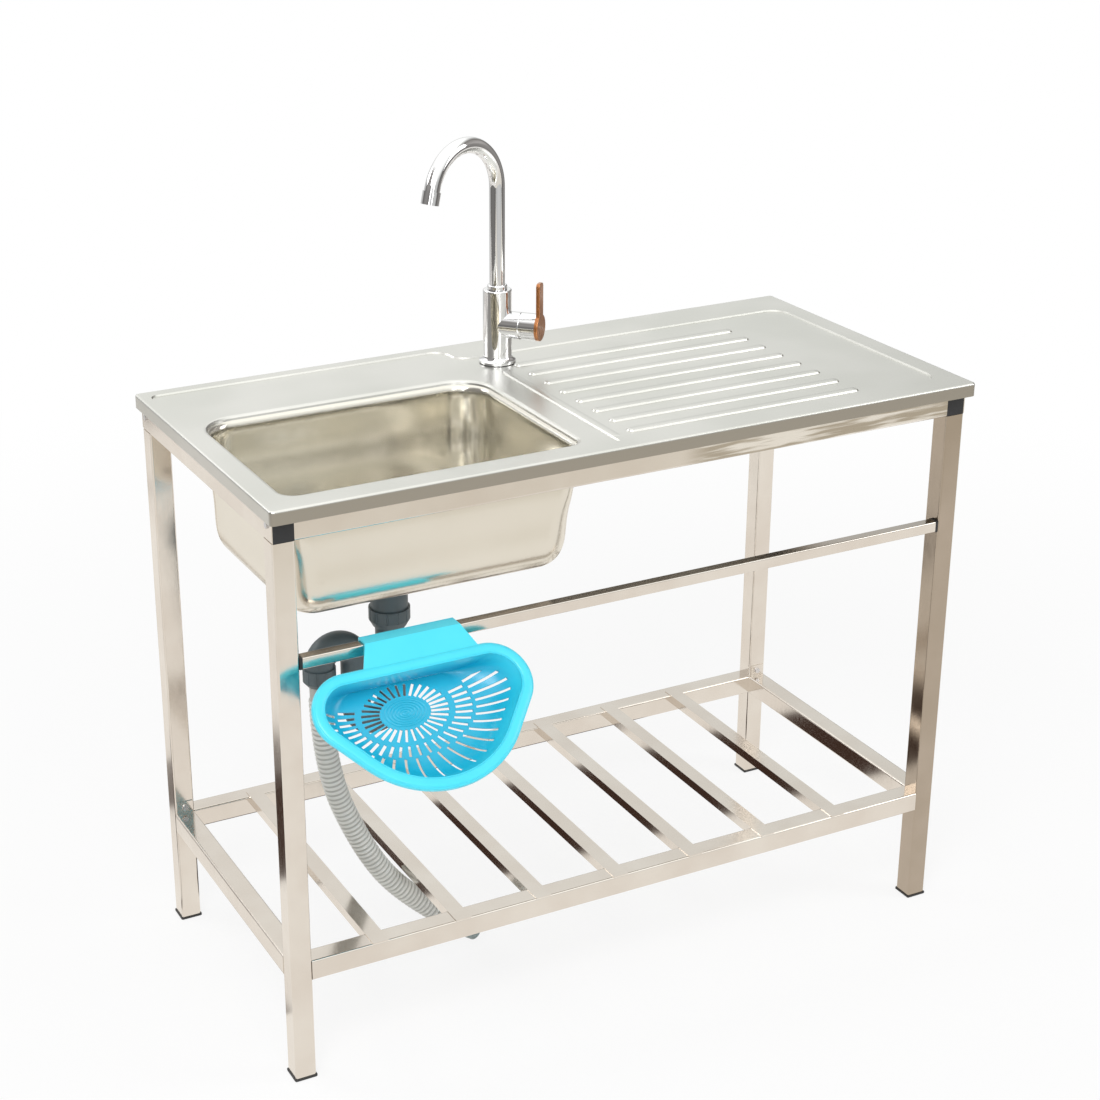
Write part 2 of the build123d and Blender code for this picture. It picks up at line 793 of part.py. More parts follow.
travel = radians(lever_travel)
hub_face = lever_pivot + lever_groove
hub_end = lever_pivot + lever_hub_length
relief = pivot_plane.z_dir * cos(travel) + pivot_plane.x_dir * sin(travel)
with BuildPart() as hub:
    with BuildSketch(lever_axis.offset(hub_face)):
        Circle(lever_radius)
    extrude(amount=hub_end - hub_face)
    with Locations(pivot_plane):
        Sphere(dome_radius + cavity_clearance, mode=Mode.SUBTRACT)
    split(
        bisect_by=Plane(origin=pivot_plane.origin + relief * lever_groove, z_dir=relief),
        keep=Keep.TOP,
    )
    with BuildSketch(lever_axis.offset(lever_pivot - stem_tail)):
        Rectangle(stem_height, stem_width)
    extrude(amount=stem_tail + dome_radius + 1)
    with BuildSketch(Plane(origin=pivot_plane.origin, x_dir=(0, 0, 1), z_dir=pivot_plane.y_dir)):
        Circle(pin_radius + running_clearance)
    extrude(amount=stem_width, both=True, mode=Mode.SUBTRACT)
write(hub, "lever_hub")

with BuildPart() as paddle:
    with BuildSketch(lever_axis.offset(hub_end)):
        Circle(lever_radius)
        with Locations((paddle_reach / 2, 0)):
            RectangleRounded(paddle_reach, paddle_width, 5)
    extrude(amount=paddle_thickness)
    fillet(paddle.faces().sort_by(Axis(pivot_plane.origin, lever_direction))[-1].edges(), 1.2)
write(paddle, "lever_paddle")

with BuildPart() as spout:
    with BuildLine(spout_plane) as spout_path:
        rise_end = (0, spout_rise)
        Line((0, -spout_socket), rise_end)
        bend = CenterArc((spout_bend, spout_rise), spout_bend, 180, -spout_sweep)
        Line(bend @ 1, bend @ 1 + spout_tip * (bend % 1))
    with BuildSketch(Plane.XY.offset(tap_top - spout_socket)):
        with Locations((tap_x, tap_y)):
            Circle(spout_radius)
            Circle(spout_radius - spout_wall, mode=Mode.SUBTRACT)
    sweep(path=spout_path.wire())
write(spout, "spout_tube")

with BuildPart() as spout_collar:
    ring(
        spout_radius,
        spout_collar_radius,
        tap_top + seat_gap,
        tap_top + seat_gap + spout_collar_height,
        tap_x,
        tap_y,
    )
    fillet(spout_collar.edges().group_by(Axis.Z)[-1].sort_by(SortBy.LENGTH)[-1], 2)
write(spout_collar, "spout_collar")

outlet_point = spout_path.wire() @ 1
outlet_direction = spout_path.wire() % 1
outlet = Plane(origin=outlet_point, z_dir=outlet_direction)
outlet_bore = spout_radius - spout_wall
with BuildPart() as aerator:
    with BuildSketch(outlet.offset(-aerator_collar)):
        Circle(aerator_radius)
        Circle(spout_radius + running_clearance, mode=Mode.SUBTRACT)
    extrude(amount=aerator_collar)
    with BuildSketch(outlet):
        Circle(aerator_radius)
        Circle(outlet_bore, mode=Mode.SUBTRACT)
    extrude(amount=aerator_length - aerator_collar)
    with BuildSketch(outlet.offset(2)):
        Circle(outlet_bore)
        with PolarLocations(spout_radius / 2, aerator_holes):
            Circle(aerator_hole_radius, mode=Mode.SUBTRACT)
    extrude(amount=2)
write(aerator, "aerator")

# ---- Waste and trap ----
drain_section = Plane(origin=(drain_x, drain_y, 0), x_dir=(1, 0, 0), z_dir=(0, -1, 0))
drain_line = Axis((drain_x, drain_y, 0), (0, 0, 1))
flange_top = drain_seat + flange_sheet
waste_tube_bore = waste_tube_radius - waste_tube_wall
with BuildPart() as waste_flange:
    ring(waste_tube_bore, flange_radius, drain_seat, flange_top, drain_x, drain_y)
    fillet(waste_flange.edges().group_by(Axis.Z)[-1].sort_by(SortBy.LENGTH)[-1], 1)
    ring(
        waste_tube_bore,
        waste_tube_radius,
        drain_seat - waste_tube_length,
        drain_seat,
        drain_x,
        drain_y,
    )
write(waste_flange, "waste_flange")

plug_bottom = flange_top + seat_gap
rim_top = plug_bottom + plug_rim_height
knob_top = rim_top + knob_height
cup_foot = plug_bottom - plug_cup_depth
stem_radius = knob_radius / 2
with BuildPart() as plug:
    with BuildSketch(drain_section):
        with BuildLine():
            Polyline(
                (0, knob_top),
                (0, cup_foot),
                (plug_cup_radius, cup_foot),
                (plug_cup_radius, plug_bottom),
                (plug_rim_radius, plug_bottom),
                (plug_rim_radius, rim_top),
                (stem_radius, rim_top),
                (stem_radius, rim_top + knob_height / 2),
                (knob_radius, rim_top + knob_height * 0.7),
                (knob_radius, knob_top),
                close=True,
            )
        make_face()
    revolve(axis=drain_line)
    fillet(plug.edges().group_by(Axis.Z)[-1], knob_round)
    with BuildSketch(Plane.XY.offset(cup_foot + plug_wall)):
        with Locations((drain_x, drain_y)):
            Circle(plug_cup_radius - plug_wall)
            Circle(stem_radius, mode=Mode.SUBTRACT)
    extrude(amount=plug_cup_depth - plug_wall, mode=Mode.SUBTRACT)
    with BuildSketch(Plane.XY.offset(cup_foot)):
        with Locations((drain_x, drain_y)):
            with PolarLocations(plug_hole_circle, plug_hole_count):
                Circle(plug_hole_radius)
    extrude(amount=plug_wall, mode=Mode.SUBTRACT)
    with BuildSketch(Plane.XY.offset(plug_bottom)):
        with Locations((drain_x, drain_y)):
            with PolarLocations(rim_hole_circle, plug_hole_count):
                Circle(plug_hole_radius)
    extrude(amount=plug_rim_height, mode=Mode.SUBTRACT)
write(plug, "strainer_plug")

seal_top = drain_seat - worktop_sheet
seal_bottom = seal_top - seal_height
with BuildPart() as bowl_seal:
    ring(drain_hole_radius, seal_radius, seal_bottom, seal_top, drain_x, drain_y)
write(bowl_seal, "bowl_seal")

cup_bottom = seal_bottom - cup_length
spigot_radius = cup_radius - cup_wall
spigot_end = cup_bottom - trap_spigot_length
with BuildPart() as waste_body:
    with BuildSketch(drain_section):
        with BuildLine():
            bore = waste_tube_radius + thread_clearance
            Polyline(
                (bore, seal_bottom),
                (cup_flange_radius, seal_bottom),
                (cup_flange_radius, seal_bottom - cup_flange_height),
                (cup_radius, seal_bottom - 2 * cup_flange_height),
                (cup_radius, seal_bottom - 2 * cup_flange_height - cup_band_height),
                (cup_radius - cup_band, seal_bottom - 2 * cup_flange_height - cup_band_height),
                (cup_radius - cup_band, cup_bottom),
                (spigot_radius, cup_bottom),
                (spigot_radius, spigot_end),
                (spigot_radius - cup_wall, spigot_end),
                (spigot_radius - cup_wall, drain_seat - waste_tube_length - cup_wall),
                (bore, drain_seat - waste_tube_length - cup_wall),
                close=True,
            )
        make_face()
    revolve(axis=drain_line)
write(waste_body, "waste_body")


def grip_flutes(radius, x, y, bottom, top):
    """Grip flutes round a plastic nut."""
    with BuildSketch(Plane.XY.offset(bottom)) as section:
        with Locations((x, y)):
            with PolarLocations(radius + nut_flute_radius / 2, nut_flutes):
                Circle(nut_flute_radius)
    extrude(section.sketch, amount=top - bottom, mode=Mode.SUBTRACT)


trap_grip = trap_radius + thread_clearance
nut_foot = cup_bottom - trap_nut_height
with BuildPart() as trap_nut:
    with BuildSketch(drain_section):
        with BuildLine():
            Polyline(
                (spigot_radius + thread_clearance, cup_bottom),
                (trap_nut_radius, cup_bottom),
                (trap_nut_radius, nut_foot),
                (trap_radius + cup_wall, nut_foot - trap_nut_taper),
                (trap_grip, nut_foot - trap_nut_taper),
                (trap_grip, spigot_end - seal_height),
                (spigot_radius + thread_clearance, spigot_end - seal_height),
                close=True,
            )
        make_face()
    revolve(axis=drain_line)
    grip_flutes(trap_nut_radius, drain_x, drain_y, nut_foot, cup_bottom)
write(trap_nut, "trap_nut")

with BuildPart() as trap_seal:
    ring(
        trap_radius - trap_wall,
        spigot_radius,
        spigot_end - seal_height,
        spigot_end,
        drain_x,
        drain_y,
    )
write(trap_seal, "trap_seal")

trap_top = spigot_end - seal_height
riser_x = -2 * trap_bend
outlet_x = -4 * trap_bend
with BuildPart() as trap:
    with BuildLine(drain_section) as trap_path:
        Line((0, trap_top), (0, trap_low_bend))
        CenterArc((riser_x / 2, trap_low_bend), trap_bend, 0, -180)
        Line((riser_x, trap_low_bend), (riser_x, trap_crown_bend))
        CenterArc((riser_x - trap_bend, trap_crown_bend), trap_bend, 0, 180)
        Line((outlet_x, trap_crown_bend), (outlet_x, trap_outlet_end))
    with BuildSketch(Plane.XY.offset(trap_top)):
        with Locations((drain_x, drain_y)):
            Circle(trap_radius)
            Circle(trap_radius - trap_wall, mode=Mode.SUBTRACT)
    sweep(path=trap_path.wire())
write(trap, "trap_tube")

hose_x = drain_x + outlet_x
hose_section = Plane(origin=(hose_x, drain_y, 0), x_dir=(1, 0, 0), z_dir=(0, -1, 0))
with BuildPart() as outlet_nut:
    with BuildSketch(hose_section):
        with BuildLine():
            Polyline(
                (trap_grip, outlet_nut_top),
                (outlet_nut_radius, outlet_nut_top),
                (outlet_nut_radius, outlet_nut_bottom + outlet_nut_taper),
                (hose_radius + 1, outlet_nut_bottom),
                (hose_bore_radius, outlet_nut_bottom),
                (hose_bore_radius, trap_outlet_end - thread_clearance),
                (trap_grip, trap_outlet_end - thread_clearance),
                close=True,
            )
        make_face()
    revolve(axis=Axis((hose_x, drain_y, 0), (0, 0, 1)))
    grip_flutes(
        outlet_nut_radius, hose_x, drain_y, outlet_nut_bottom + outlet_nut_taper, outlet_nut_top
    )
write(outlet_nut, "outlet_nut")

# ---- Drain hose ----
# It leaves the outlet nut straight down, leans to the right under its own stiffness, passes between
# the first two slats and ends in a tapered fitting just over the floor behind the front rail.
hose_run = [(0, 461), (0, 345), (53, 205), (112, 118), (184, 57)]
hose_route = [Vector(hose_x + across, drain_y, height) for across, height in hose_run]


def corner_radius(before, corner, after):
    """Arc as large as the two runs at a corner allow."""
    shorter = min((corner - before).length, (after - corner).length)
    turn = radians((corner - before).get_angle(after - corner))
    return 0.45 * shorter / tan(turn / 2)


hose_radii = [corner_radius(*hose_route[i : i + 3]) for i in range(len(hose_route) - 2)]
print("hose corner radii", [round(radius) for radius in hose_radii])

with BuildLine() as hose_line:
    FilletPolyline(*hose_route, radius=hose_radii)
hose_wire = hose_line.wire()
hose_length = hose_wire.length
rib_count = int((hose_length - 2 * hose_cuff) / rib_pitch)
rib_start = (hose_length - rib_count * rib_pitch) / 2
print("hose length", round(hose_length, 1), "ribs", rib_count)


def hose_section_at(distance, radius):
    """A circle square to the hose, its seam kept on the steady axis."""
    share = distance / hose_length
    plane = Plane(origin=hose_wire @ share, x_dir=(0, 1, 0), z_dir=hose_wire % share)
    with BuildSketch(plane) as section:
        Circle(radius)
    return section.sketch.face()


rib_profile = [
    (0.05, hose_root_radius),
    (0.25, hose_radius),
    (0.6, hose_radius),
    (0.8, hose_root_radius),
]
hose_sections = [hose_section_at(0, hose_root_radius)]
for rib in range(rib_count):
    start = rib_start + rib * rib_pitch
    for share, radius in rib_profile:
        hose_sections.append(hose_section_at(start + share * rib_pitch, radius))
hose_sections.append(hose_section_at(hose_length, hose_root_radius))

with BuildPart() as hose:
    loft(hose_sections, ruled=True)
    with BuildSketch(Plane(origin=hose_wire @ 0, x_dir=(0, 1, 0), z_dir=hose_wire % 0)):
        Circle(hose_bore_radius)
    sweep(path=hose_wire, mode=Mode.SUBTRACT)
write(hose, "drain_hose")
print("hose volume", round(hose.part.volume))

hose_end = Plane(origin=hose_wire @ 1, x_dir=(0, 1, 0), z_dir=hose_wire % 1)
with BuildPart() as fitting:
    with BuildSketch(hose_end):
        Circle(fitting_cuff_radius)
    extrude(amount=fitting_cuff_length)
    with BuildSketch(hose_end.offset(fitting_cuff_length)):
        Circle(hose_radius)
    with BuildSketch(hose_end.offset(fitting_length)):
        Circle(fitting_tip_radius)
    loft()
    with BuildSketch(hose_end):
        Circle(fitting_bore_radius)
    extrude(amount=fitting_length, mode=Mode.SUBTRACT)
write(fitting, "hose_end_fitting")


# ---- Strainer basket ----
# The rim is a rounded triangle, wide at the saddle, and the dish draws in from it to an oval floor.
# In the rim's plane, X runs to the right and -Y down the slope from the saddle.
def rim_outline(inset):
    """The rim's outline, drawn in by an inset."""
    with BuildSketch() as outline:
        with Locations((-basket_shift, 0)):
            Polygon(
                (-basket_span / 2, -basket_rim_back),
                (basket_span / 2, -basket_rim_back),
                (0, -basket_apex),
                align=None,
            )
        fillet(vertices().group_by(Axis.Y)[-1], basket_back_corner)
        fillet(vertices().group_by(Axis.Y)[0], basket_nose_radius)
        if inset:
            offset(amount=-inset)
    return outline.sketch


def dish_level(turn, grow):
    """One level of the dish; the turn runs from 0 at the mouth to 90 on the floor."""
    share = 1 - cos(radians(turn))
    level = scale(rim_outline(basket_lip), by=1 - share * (1 - basket_floor_scale))
    back = basket_rim_back + basket_lip
    back += share * (basket_floor_back - back)
    box = level.bounding_box()
    middle = -basket_shift - share * basket_floor_shift
    place = Pos(middle - box.center().X, -back - box.max.Y)
    with BuildSketch(basket_frame.offset(-(basket_depth + grow) * sin(radians(turn)))) as section:
        add(place * level)
        if grow:
            offset(amount=grow * cos(radians(turn)) + basket_easing)
    return section.sketch.face()


def dish(grow):
    """The hollow of the basket, or with growth its outside."""
    with BuildPart() as space:
        loft([dish_level(turn, grow) for turn in (0, 30, 60, 90)])
    return space.part


floor_half = basket_floor_scale * (basket_rim_front - basket_rim_back - 2 * basket_lip) / 2
floor_middle = (-basket_shift - basket_floor_shift, -basket_floor_back - floor_half)


def oval_slot(turn, inner, outer):
    """A slot that points at the floor's middle, turned from straight ahead round the oval."""
    across = sin(radians(turn))
    ahead = slot_oval * cos(radians(turn))
    middle = (inner + outer) / 2
    place = (floor_middle[0] + middle * across, floor_middle[1] - middle * ahead)
    with Locations(Location(place, degrees(atan2(-ahead, across)))):
        Rectangle((outer - inner) * sqrt(across**2 + ahead**2), slot_width)


with BuildPart() as basket:
    with BuildSketch(basket_frame):
        add(rim_outline(0))
    extrude(amount=-basket_lip_height)
    top = basket.faces().sort_by(Axis(basket_frame.origin, basket_frame.z_dir))[-1]
    fillet(top.edges(), basket_lip_round)
    with BuildSketch(basket_frame.offset(-basket_lip_sheet)):
        add(rim_outline(basket_wall))
    extrude(amount=-basket_lip_height, mode=Mode.SUBTRACT)
    # Web from the saddle down to the rim.
    with BuildSketch(basket_frame):
        Polygon(
            (-saddle_width / 2, 0),
            (saddle_width / 2, 0),
            (saddle_width / 2 + saddle_flare, -basket_rim_back - basket_lip),
            (-saddle_width / 2 - saddle_flare, -basket_rim_back - basket_lip),
            align=None,
        )
    extrude(amount=-basket_lip_sheet)
    add(dish(basket_wall))
    add(dish(0), mode=Mode.SUBTRACT)
    with BuildSketch(basket_frame.offset(-basket_depth / 2)):
        for number in range(floor_slot_count):
            oval_slot(number * 360 / floor_slot_count, floor_slot_inner, floor_slot_outer)
    extrude(amount=-basket_depth, mode=Mode.SUBTRACT)
    with BuildSketch(basket_frame.offset(-basket_lip_height)):
        for number in range(wall_slot_count):
            turn = (number - (wall_slot_count - 1) / 2) * wall_slot_step
            oval_slot(turn, wall_slot_inner, wall_slot_split)
            oval_slot(turn + wall_slot_step / 2, wall_slot_split + wall_slot_gap, basket_span / 2)
        add(rim_outline(basket_lip + wall_slot_margin), mode=Mode.INTERSECT)
    extrude(amount=-basket_depth, mode=Mode.SUBTRACT)
    # Saddle over the cross rail: front plate, top plate and rear lip.
    outer_front = frame_front - saddle_stand
    outer_back = frame_front + cross_rail_size + saddle_stand
    saddle_top = cross_rail_top + saddle_stand
    with Locations((basket_x, outer_front + saddle_plate / 2, saddle_top - saddle_front / 2)):
        Box(saddle_width, saddle_plate, saddle_front)
    with Locations((basket_x, (outer_front + outer_back) / 2, saddle_top - saddle_plate / 2)):
        Box(saddle_width, outer_back - outer_front, saddle_plate)
    with Locations((basket_x, outer_back - saddle_plate / 2, saddle_top - saddle_rear / 2)):
        Box(saddle_width, saddle_plate, saddle_rear)
write(basket, "strainer_basket")
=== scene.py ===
# %% [markdown]
# # A free-standing kitchen sink unit
# A stainless steel worktop, pressed with its drainer, has a drawn bowl welded into it. It stands on a
# knock-down frame of square tube with a slatted shelf, and carries a swivel tap, a trap with a ribbed
# drain hose, and a strainer basket on the front rail. The solid shapes come from the CAD model. This
# file gives them their finishes, and makes the flexible hose and the fine details that a photograph
# of such a unit shows.

# %% The frame from CAD
import bpy
from math import atan2, cos, pi, radians, sin
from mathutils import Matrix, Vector


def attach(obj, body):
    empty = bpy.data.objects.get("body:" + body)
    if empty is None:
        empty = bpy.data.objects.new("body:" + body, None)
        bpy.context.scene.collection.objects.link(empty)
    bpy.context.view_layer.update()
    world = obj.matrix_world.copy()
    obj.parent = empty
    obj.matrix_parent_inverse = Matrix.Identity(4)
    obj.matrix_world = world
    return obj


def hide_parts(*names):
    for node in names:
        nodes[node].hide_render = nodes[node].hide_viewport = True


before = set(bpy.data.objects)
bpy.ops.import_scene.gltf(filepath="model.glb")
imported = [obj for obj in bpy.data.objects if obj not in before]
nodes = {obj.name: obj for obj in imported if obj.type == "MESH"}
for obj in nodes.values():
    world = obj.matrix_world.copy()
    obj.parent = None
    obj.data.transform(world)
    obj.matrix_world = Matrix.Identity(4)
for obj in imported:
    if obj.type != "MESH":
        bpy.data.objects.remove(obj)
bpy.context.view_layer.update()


def box_of(name):
    """The low and the high corner of a CAD node."""
    sides = list(zip(*(vertex.co for vertex in nodes[name].data.vertices)))
    return Vector([min(side) for side in sides]), Vector([max(side) for side in sides])


# %% [markdown]
# ## Camera
# The photograph was taken from the front left, looking down at about 22 degrees with a long lens.
# The place and the angles were found by fitting a pinhole camera to the corners of the worktop, legs
# and rails. A small lens shift puts the unit where it stands in the picture.

# %% Camera
camera_data = bpy.data.cameras.new("camera")
camera_data.lens = 70.337
camera_data.sensor_width = 36
camera_data.shift_x = 0.0818
camera_data.shift_y = -0.0091
camera = bpy.data.objects.new("camera", camera_data)
camera.location = (-1.303946, -2.289241, 1.673734)
camera.rotation_euler = [radians(angle) for angle in (67.7059, 0.5170, -26.4341)]
bpy.context.scene.collection.objects.link(camera)
bpy.context.scene.camera = camera
bpy.context.scene.view_settings.view_transform = "Standard"
print("camera at", tuple(round(v, 3) for v in camera.location))

# %% [markdown]
# ## Route of the drain hose
# The hose leaves the outlet nut of the trap straight down. It is stiff for its length, so it leans to
# the right in one lazy bend, drops between the first two slats and ends in a fitting just over the
# floor. A NURBS spline gives that curve: its points pull the line without being on it, which is how
# a springy hose takes a bend. The order and the end rule are set once the points are there.

# %% Hose route
hose_route = [
    (-0.3725, 0.0125, 0.461),
    (-0.3725, 0.0125, 0.345),
    (-0.3195, 0.0125, 0.205),
    (-0.2605, 0.0125, 0.118),
    (-0.1885, 0.0125, 0.057),
]


def spline_mesh(points, name):
    """The smooth line of a route, as a mesh of edges."""
    curve = bpy.data.curves.new(name, "CURVE")
    curve.dimensions = "3D"
    curve.resolution_u = 40
    spline = curve.splines.new("NURBS")
    spline.points.add(len(points) - 1)
    for point, place in zip(spline.points, points):
        point.co = (*place, 1)
    spline.order_u = 3
    spline.use_endpoint_u = True
    made = bpy.data.objects.new(name, curve)
    bpy.context.scene.collection.objects.link(made)
    mesh = bpy.data.meshes.new_from_object(made)
    bpy.data.objects.remove(made)
    return mesh


hose_line = spline_mesh(hose_route, "hose_line")
hose_path = [tuple(vertex.co) for vertex in hose_line.vertices]
hose_length = sum((Vector(b) - Vector(a)).length for a, b in zip(hose_path, hose_path[1:]))
print("hose length", round(hose_length, 4), "from", len(hose_path), "points")

# %% [markdown]
# ## A short way to write shader maths
# A finish is a network of nodes. Adding each Math node by hand hides the idea, so a small class wraps
# a socket and lets Python's own operators add the nodes: `1 - mask * 0.5` reads as what it does. Any
# other kind of node comes from one method, which takes its type, its settings and its inputs.

# %% Shader maths


class Value:
    """One output of a node. Sums on it add Math nodes to the same tree."""

    def __init__(self, tree, socket):
        self.tree = tree
        self.socket = socket

    def maths(self, operation, first, second=0.0):
        inputs = {0: first, 1: second}
        return self.tree.node("ShaderNodeMath", {"operation": operation}, inputs)

    def __add__(self, other):
        return self.maths("ADD", self, other)

    def __radd__(self, other):
        return self.maths("ADD", other, self)

    def __sub__(self, other):
        return self.maths("SUBTRACT", self, other)

    def __rsub__(self, other):
        return self.maths("SUBTRACT", other, self)

    def __mul__(self, other):
        return self.maths("MULTIPLY", self, other)

    def __rmul__(self, other):
        return self.maths("MULTIPLY", other, self)

    def __truediv__(self, other):
        return self.maths("DIVIDE", self, other)

    def __pow__(self, other):
        return self.maths("POWER", self, other)

    def wave(self):
        return self.maths("SINE", self)

    def least(self, other):
        return self.maths("MINIMUM", self, other)

    def most(self, other):
        return self.maths("MAXIMUM", self, other)

    def ramp(self, none, full):
        """0 at none, 1 at full, smooth between and level beyond. Full may be the lower of the two."""
        settings = {"interpolation_type": "SMOOTHSTEP"}
        inputs = {"Value": self, "From Min": none, "From Max": full}
        return self.tree.node("ShaderNodeMapRange", settings, inputs)


print("Math nodes from operators")

# %% [markdown]
# ## The nodes of a finish
# All patterns use Object coordinates, so they are in metres and stay on a piece when it moves. A
# Mapping node squeezes them where a pattern has a direction. `Finish` is a material with a Principled
# shader: constants go straight onto its sockets, and only what changes over a surface is a network.

# %% Finishes


class Network:
    """The nodes of one finish, of the floor or of the world."""

    def __init__(self, nodes_owner):
        nodes_owner.use_nodes = True
        self.owner = nodes_owner
        self.tree = nodes_owner.node_tree

    def node(self, kind, settings=None, inputs=None, output=0):
        made = self.tree.nodes.new(kind)
        for key, setting in (settings or {}).items():
            if key == "stops":
                while len(made.color_ramp.elements) < len(setting):
                    made.color_ramp.elements.new(0.5)
                for element, (place, colour) in zip(made.color_ramp.elements, setting):
                    element.position = place
                    element.color = (*colour, 1)
            else:
                setattr(made, key, setting)
        for key, value in (inputs or {}).items():
            self.feed(made.inputs[key], value)
        return Value(self, made.outputs[output])

    def feed(self, socket, value):
        if isinstance(value, Value):
            self.tree.links.new(value.socket, socket)
        elif isinstance(value, tuple) and socket.type == "RGBA" and len(value) == 3:
            socket.default_value = (*value, 1)
        else:
            socket.default_value = value

    def mix(self, share, first, second):
        """The first colour where the share is 0, the second where it is 1."""
        settings = {"data_type": "RGBA"}
        return self.node("ShaderNodeMix", settings, {0: share, 6: first, 7: second}, 2)

    def place(self, stretch=(1, 1, 1)):
        """Object coordinates in metres, squeezed so that a pattern stretches."""
        spot = self.node("ShaderNodeTexCoord", output="Object")
        return self.node("ShaderNodeMapping", {}, {"Vector": spot, "Scale": stretch})

    def facing(self):
        """The way that the surface faces."""
        return self.node("ShaderNodeTexCoord", output="Normal")

    def part(self, vector, axis):
        """One of the three numbers in a vector."""
        return self.node("ShaderNodeSeparateXYZ", {}, {0: vector}, axis)

    def vector_maths(self, operation, inputs, output=0):
        return self.node("ShaderNodeVectorMath", {"operation": operation}, inputs, output)

    def noise(self, size, detail=3.0, stretch=(1, 1, 1), rough=0.5):
        """Cloudy noise from 0 to 1 whose blots are about that many metres across."""
        inputs = {"Vector": self.place(stretch), "Scale": 1 / size, "Detail": detail}
        inputs["Roughness"] = rough
        return self.node("ShaderNodeTexNoise", {}, inputs)

    def bump(self, height, depth, strength=1.0):
        inputs = {"Height": height, "Distance": depth, "Strength": strength}
        return self.node("ShaderNodeBump", {}, inputs)


class Finish(Network):
    """A material whose look comes from one Principled shader."""

    def __init__(self, name, **constants):
        super().__init__(bpy.data.materials.new(name))
        self.shader = self.tree.nodes["Principled BSDF"]
        for key, value in constants.items():
            self.set(key.replace("_", " ").title(), value)

    def set(self, name, value):
        self.feed(self.shader.inputs[name], value)


def paint(finish, *names):
    """Give CAD nodes this finish."""
    for name in names:
        mesh = nodes[name].data
        mesh.materials.clear()
        mesh.materials.append(finish.owner)


print("shader helpers ready")

# %% [markdown]
# ## Brushed worktop steel
# The deck is ground with a fine belt, so each scratch runs along its length. A picture of brushed
# steel would repeat and need a layout. Noise does neither: squeezed hard along the deck, it draws out
# into lines, which go into the roughness and a very shallow bump. Slow clouds of noise keep the large
# faces from looking printed. The edge that is folded down in front gets its own darker tone, which is
# painted shade.

# %% Worktop steel
deck_dark = (0.61, 0.61, 0.575)
deck_light = (0.67, 0.665, 0.635)
# Painted shade: the folded front edge is darker than the deck.
painted_front_edge_shade = (0.42, 0.39, 0.34)
deck_low, deck_high = box_of("worktop")
under_rim = (deck_high.z - 0.0015, deck_high.z - 0.0035)
before_rim = (deck_low.y + 0.0065, deck_low.y + 0.0015)
deck_steel = Finish("worktop_steel", metallic=1.0)
grain = deck_steel.noise(0.0016, 4, (0.012, 1, 1), 0.7)
cloud = deck_steel.noise(0.16, 2)
deck_place = deck_steel.place()
across, depth, height = (deck_steel.part(deck_place, axis) for axis in "XYZ")
front_edge_shade_mask = height.ramp(*under_rim) * depth.ramp(*before_rim)
deck_tone = deck_steel.mix(cloud.ramp(0.3, 0.7), deck_dark, deck_light)
deck_steel.set("Base Color", deck_steel.mix(front_edge_shade_mask, deck_tone, painted_front_edge_shade))
deck_steel.set("Roughness", 0.24 + grain * 0.12 + cloud * 0.06)
paint(deck_steel, "worktop")
print("worktop grain and tones done")

# %% [markdown]
# ## Crown of the flutes and the ridge
# The press leaves the drainer's flutes and the ridge beside the bowl slightly crowned. Their walls are
# in the CAD model, and the crown is too low to change an outline, so it goes into the bump. The height
# is a parabola over the distance to the middle of each flute, which a ping-pong wave gives for all of
# them at once. Ramps fade it out at the ends, so that the plain borders stay flat.

# %% Crowned tops
flute_pitch = 0.043
flute_half = 0.0075
first_flute = -0.1165
flute_left = -0.001
flute_right = 0.349
drainer_front = (first_flute - 0.012, first_flute - 0.009)
drainer_back = (0.21, 0.20)
ridge_middle = -0.023
ridge_half = 0.007
ridge_front = (-0.1325, -0.1275)
ridge_back = (0.17, 0.16)
crown_height = 0.0012
grain_share = 0.04


def crown(distance, half_width):
    """A parabola over a strip: 1 in its middle and 0 at its edges."""
    return (1 - (distance / half_width) ** 2).most(0.0)


to_flute = depth.maths("PINGPONG", depth - first_flute, flute_pitch / 2)
on_drainer = across.ramp(flute_left, flute_left + flute_half)
on_drainer = on_drainer * across.ramp(flute_right, flute_right - flute_half)
on_drainer = on_drainer * depth.ramp(*drainer_front) * depth.ramp(*drainer_back)
on_ridge = depth.ramp(*ridge_front) * depth.ramp(*ridge_back)
flutes = crown(to_flute, flute_half) * on_drainer
ridge = crown(across - ridge_middle, ridge_half) * on_ridge
tops = flutes.most(ridge)
deck_steel.set("Normal", deck_steel.bump(tops + grain * grain_share, crown_height, 0.5))
print("crowned flutes", flute_pitch, "m apart")
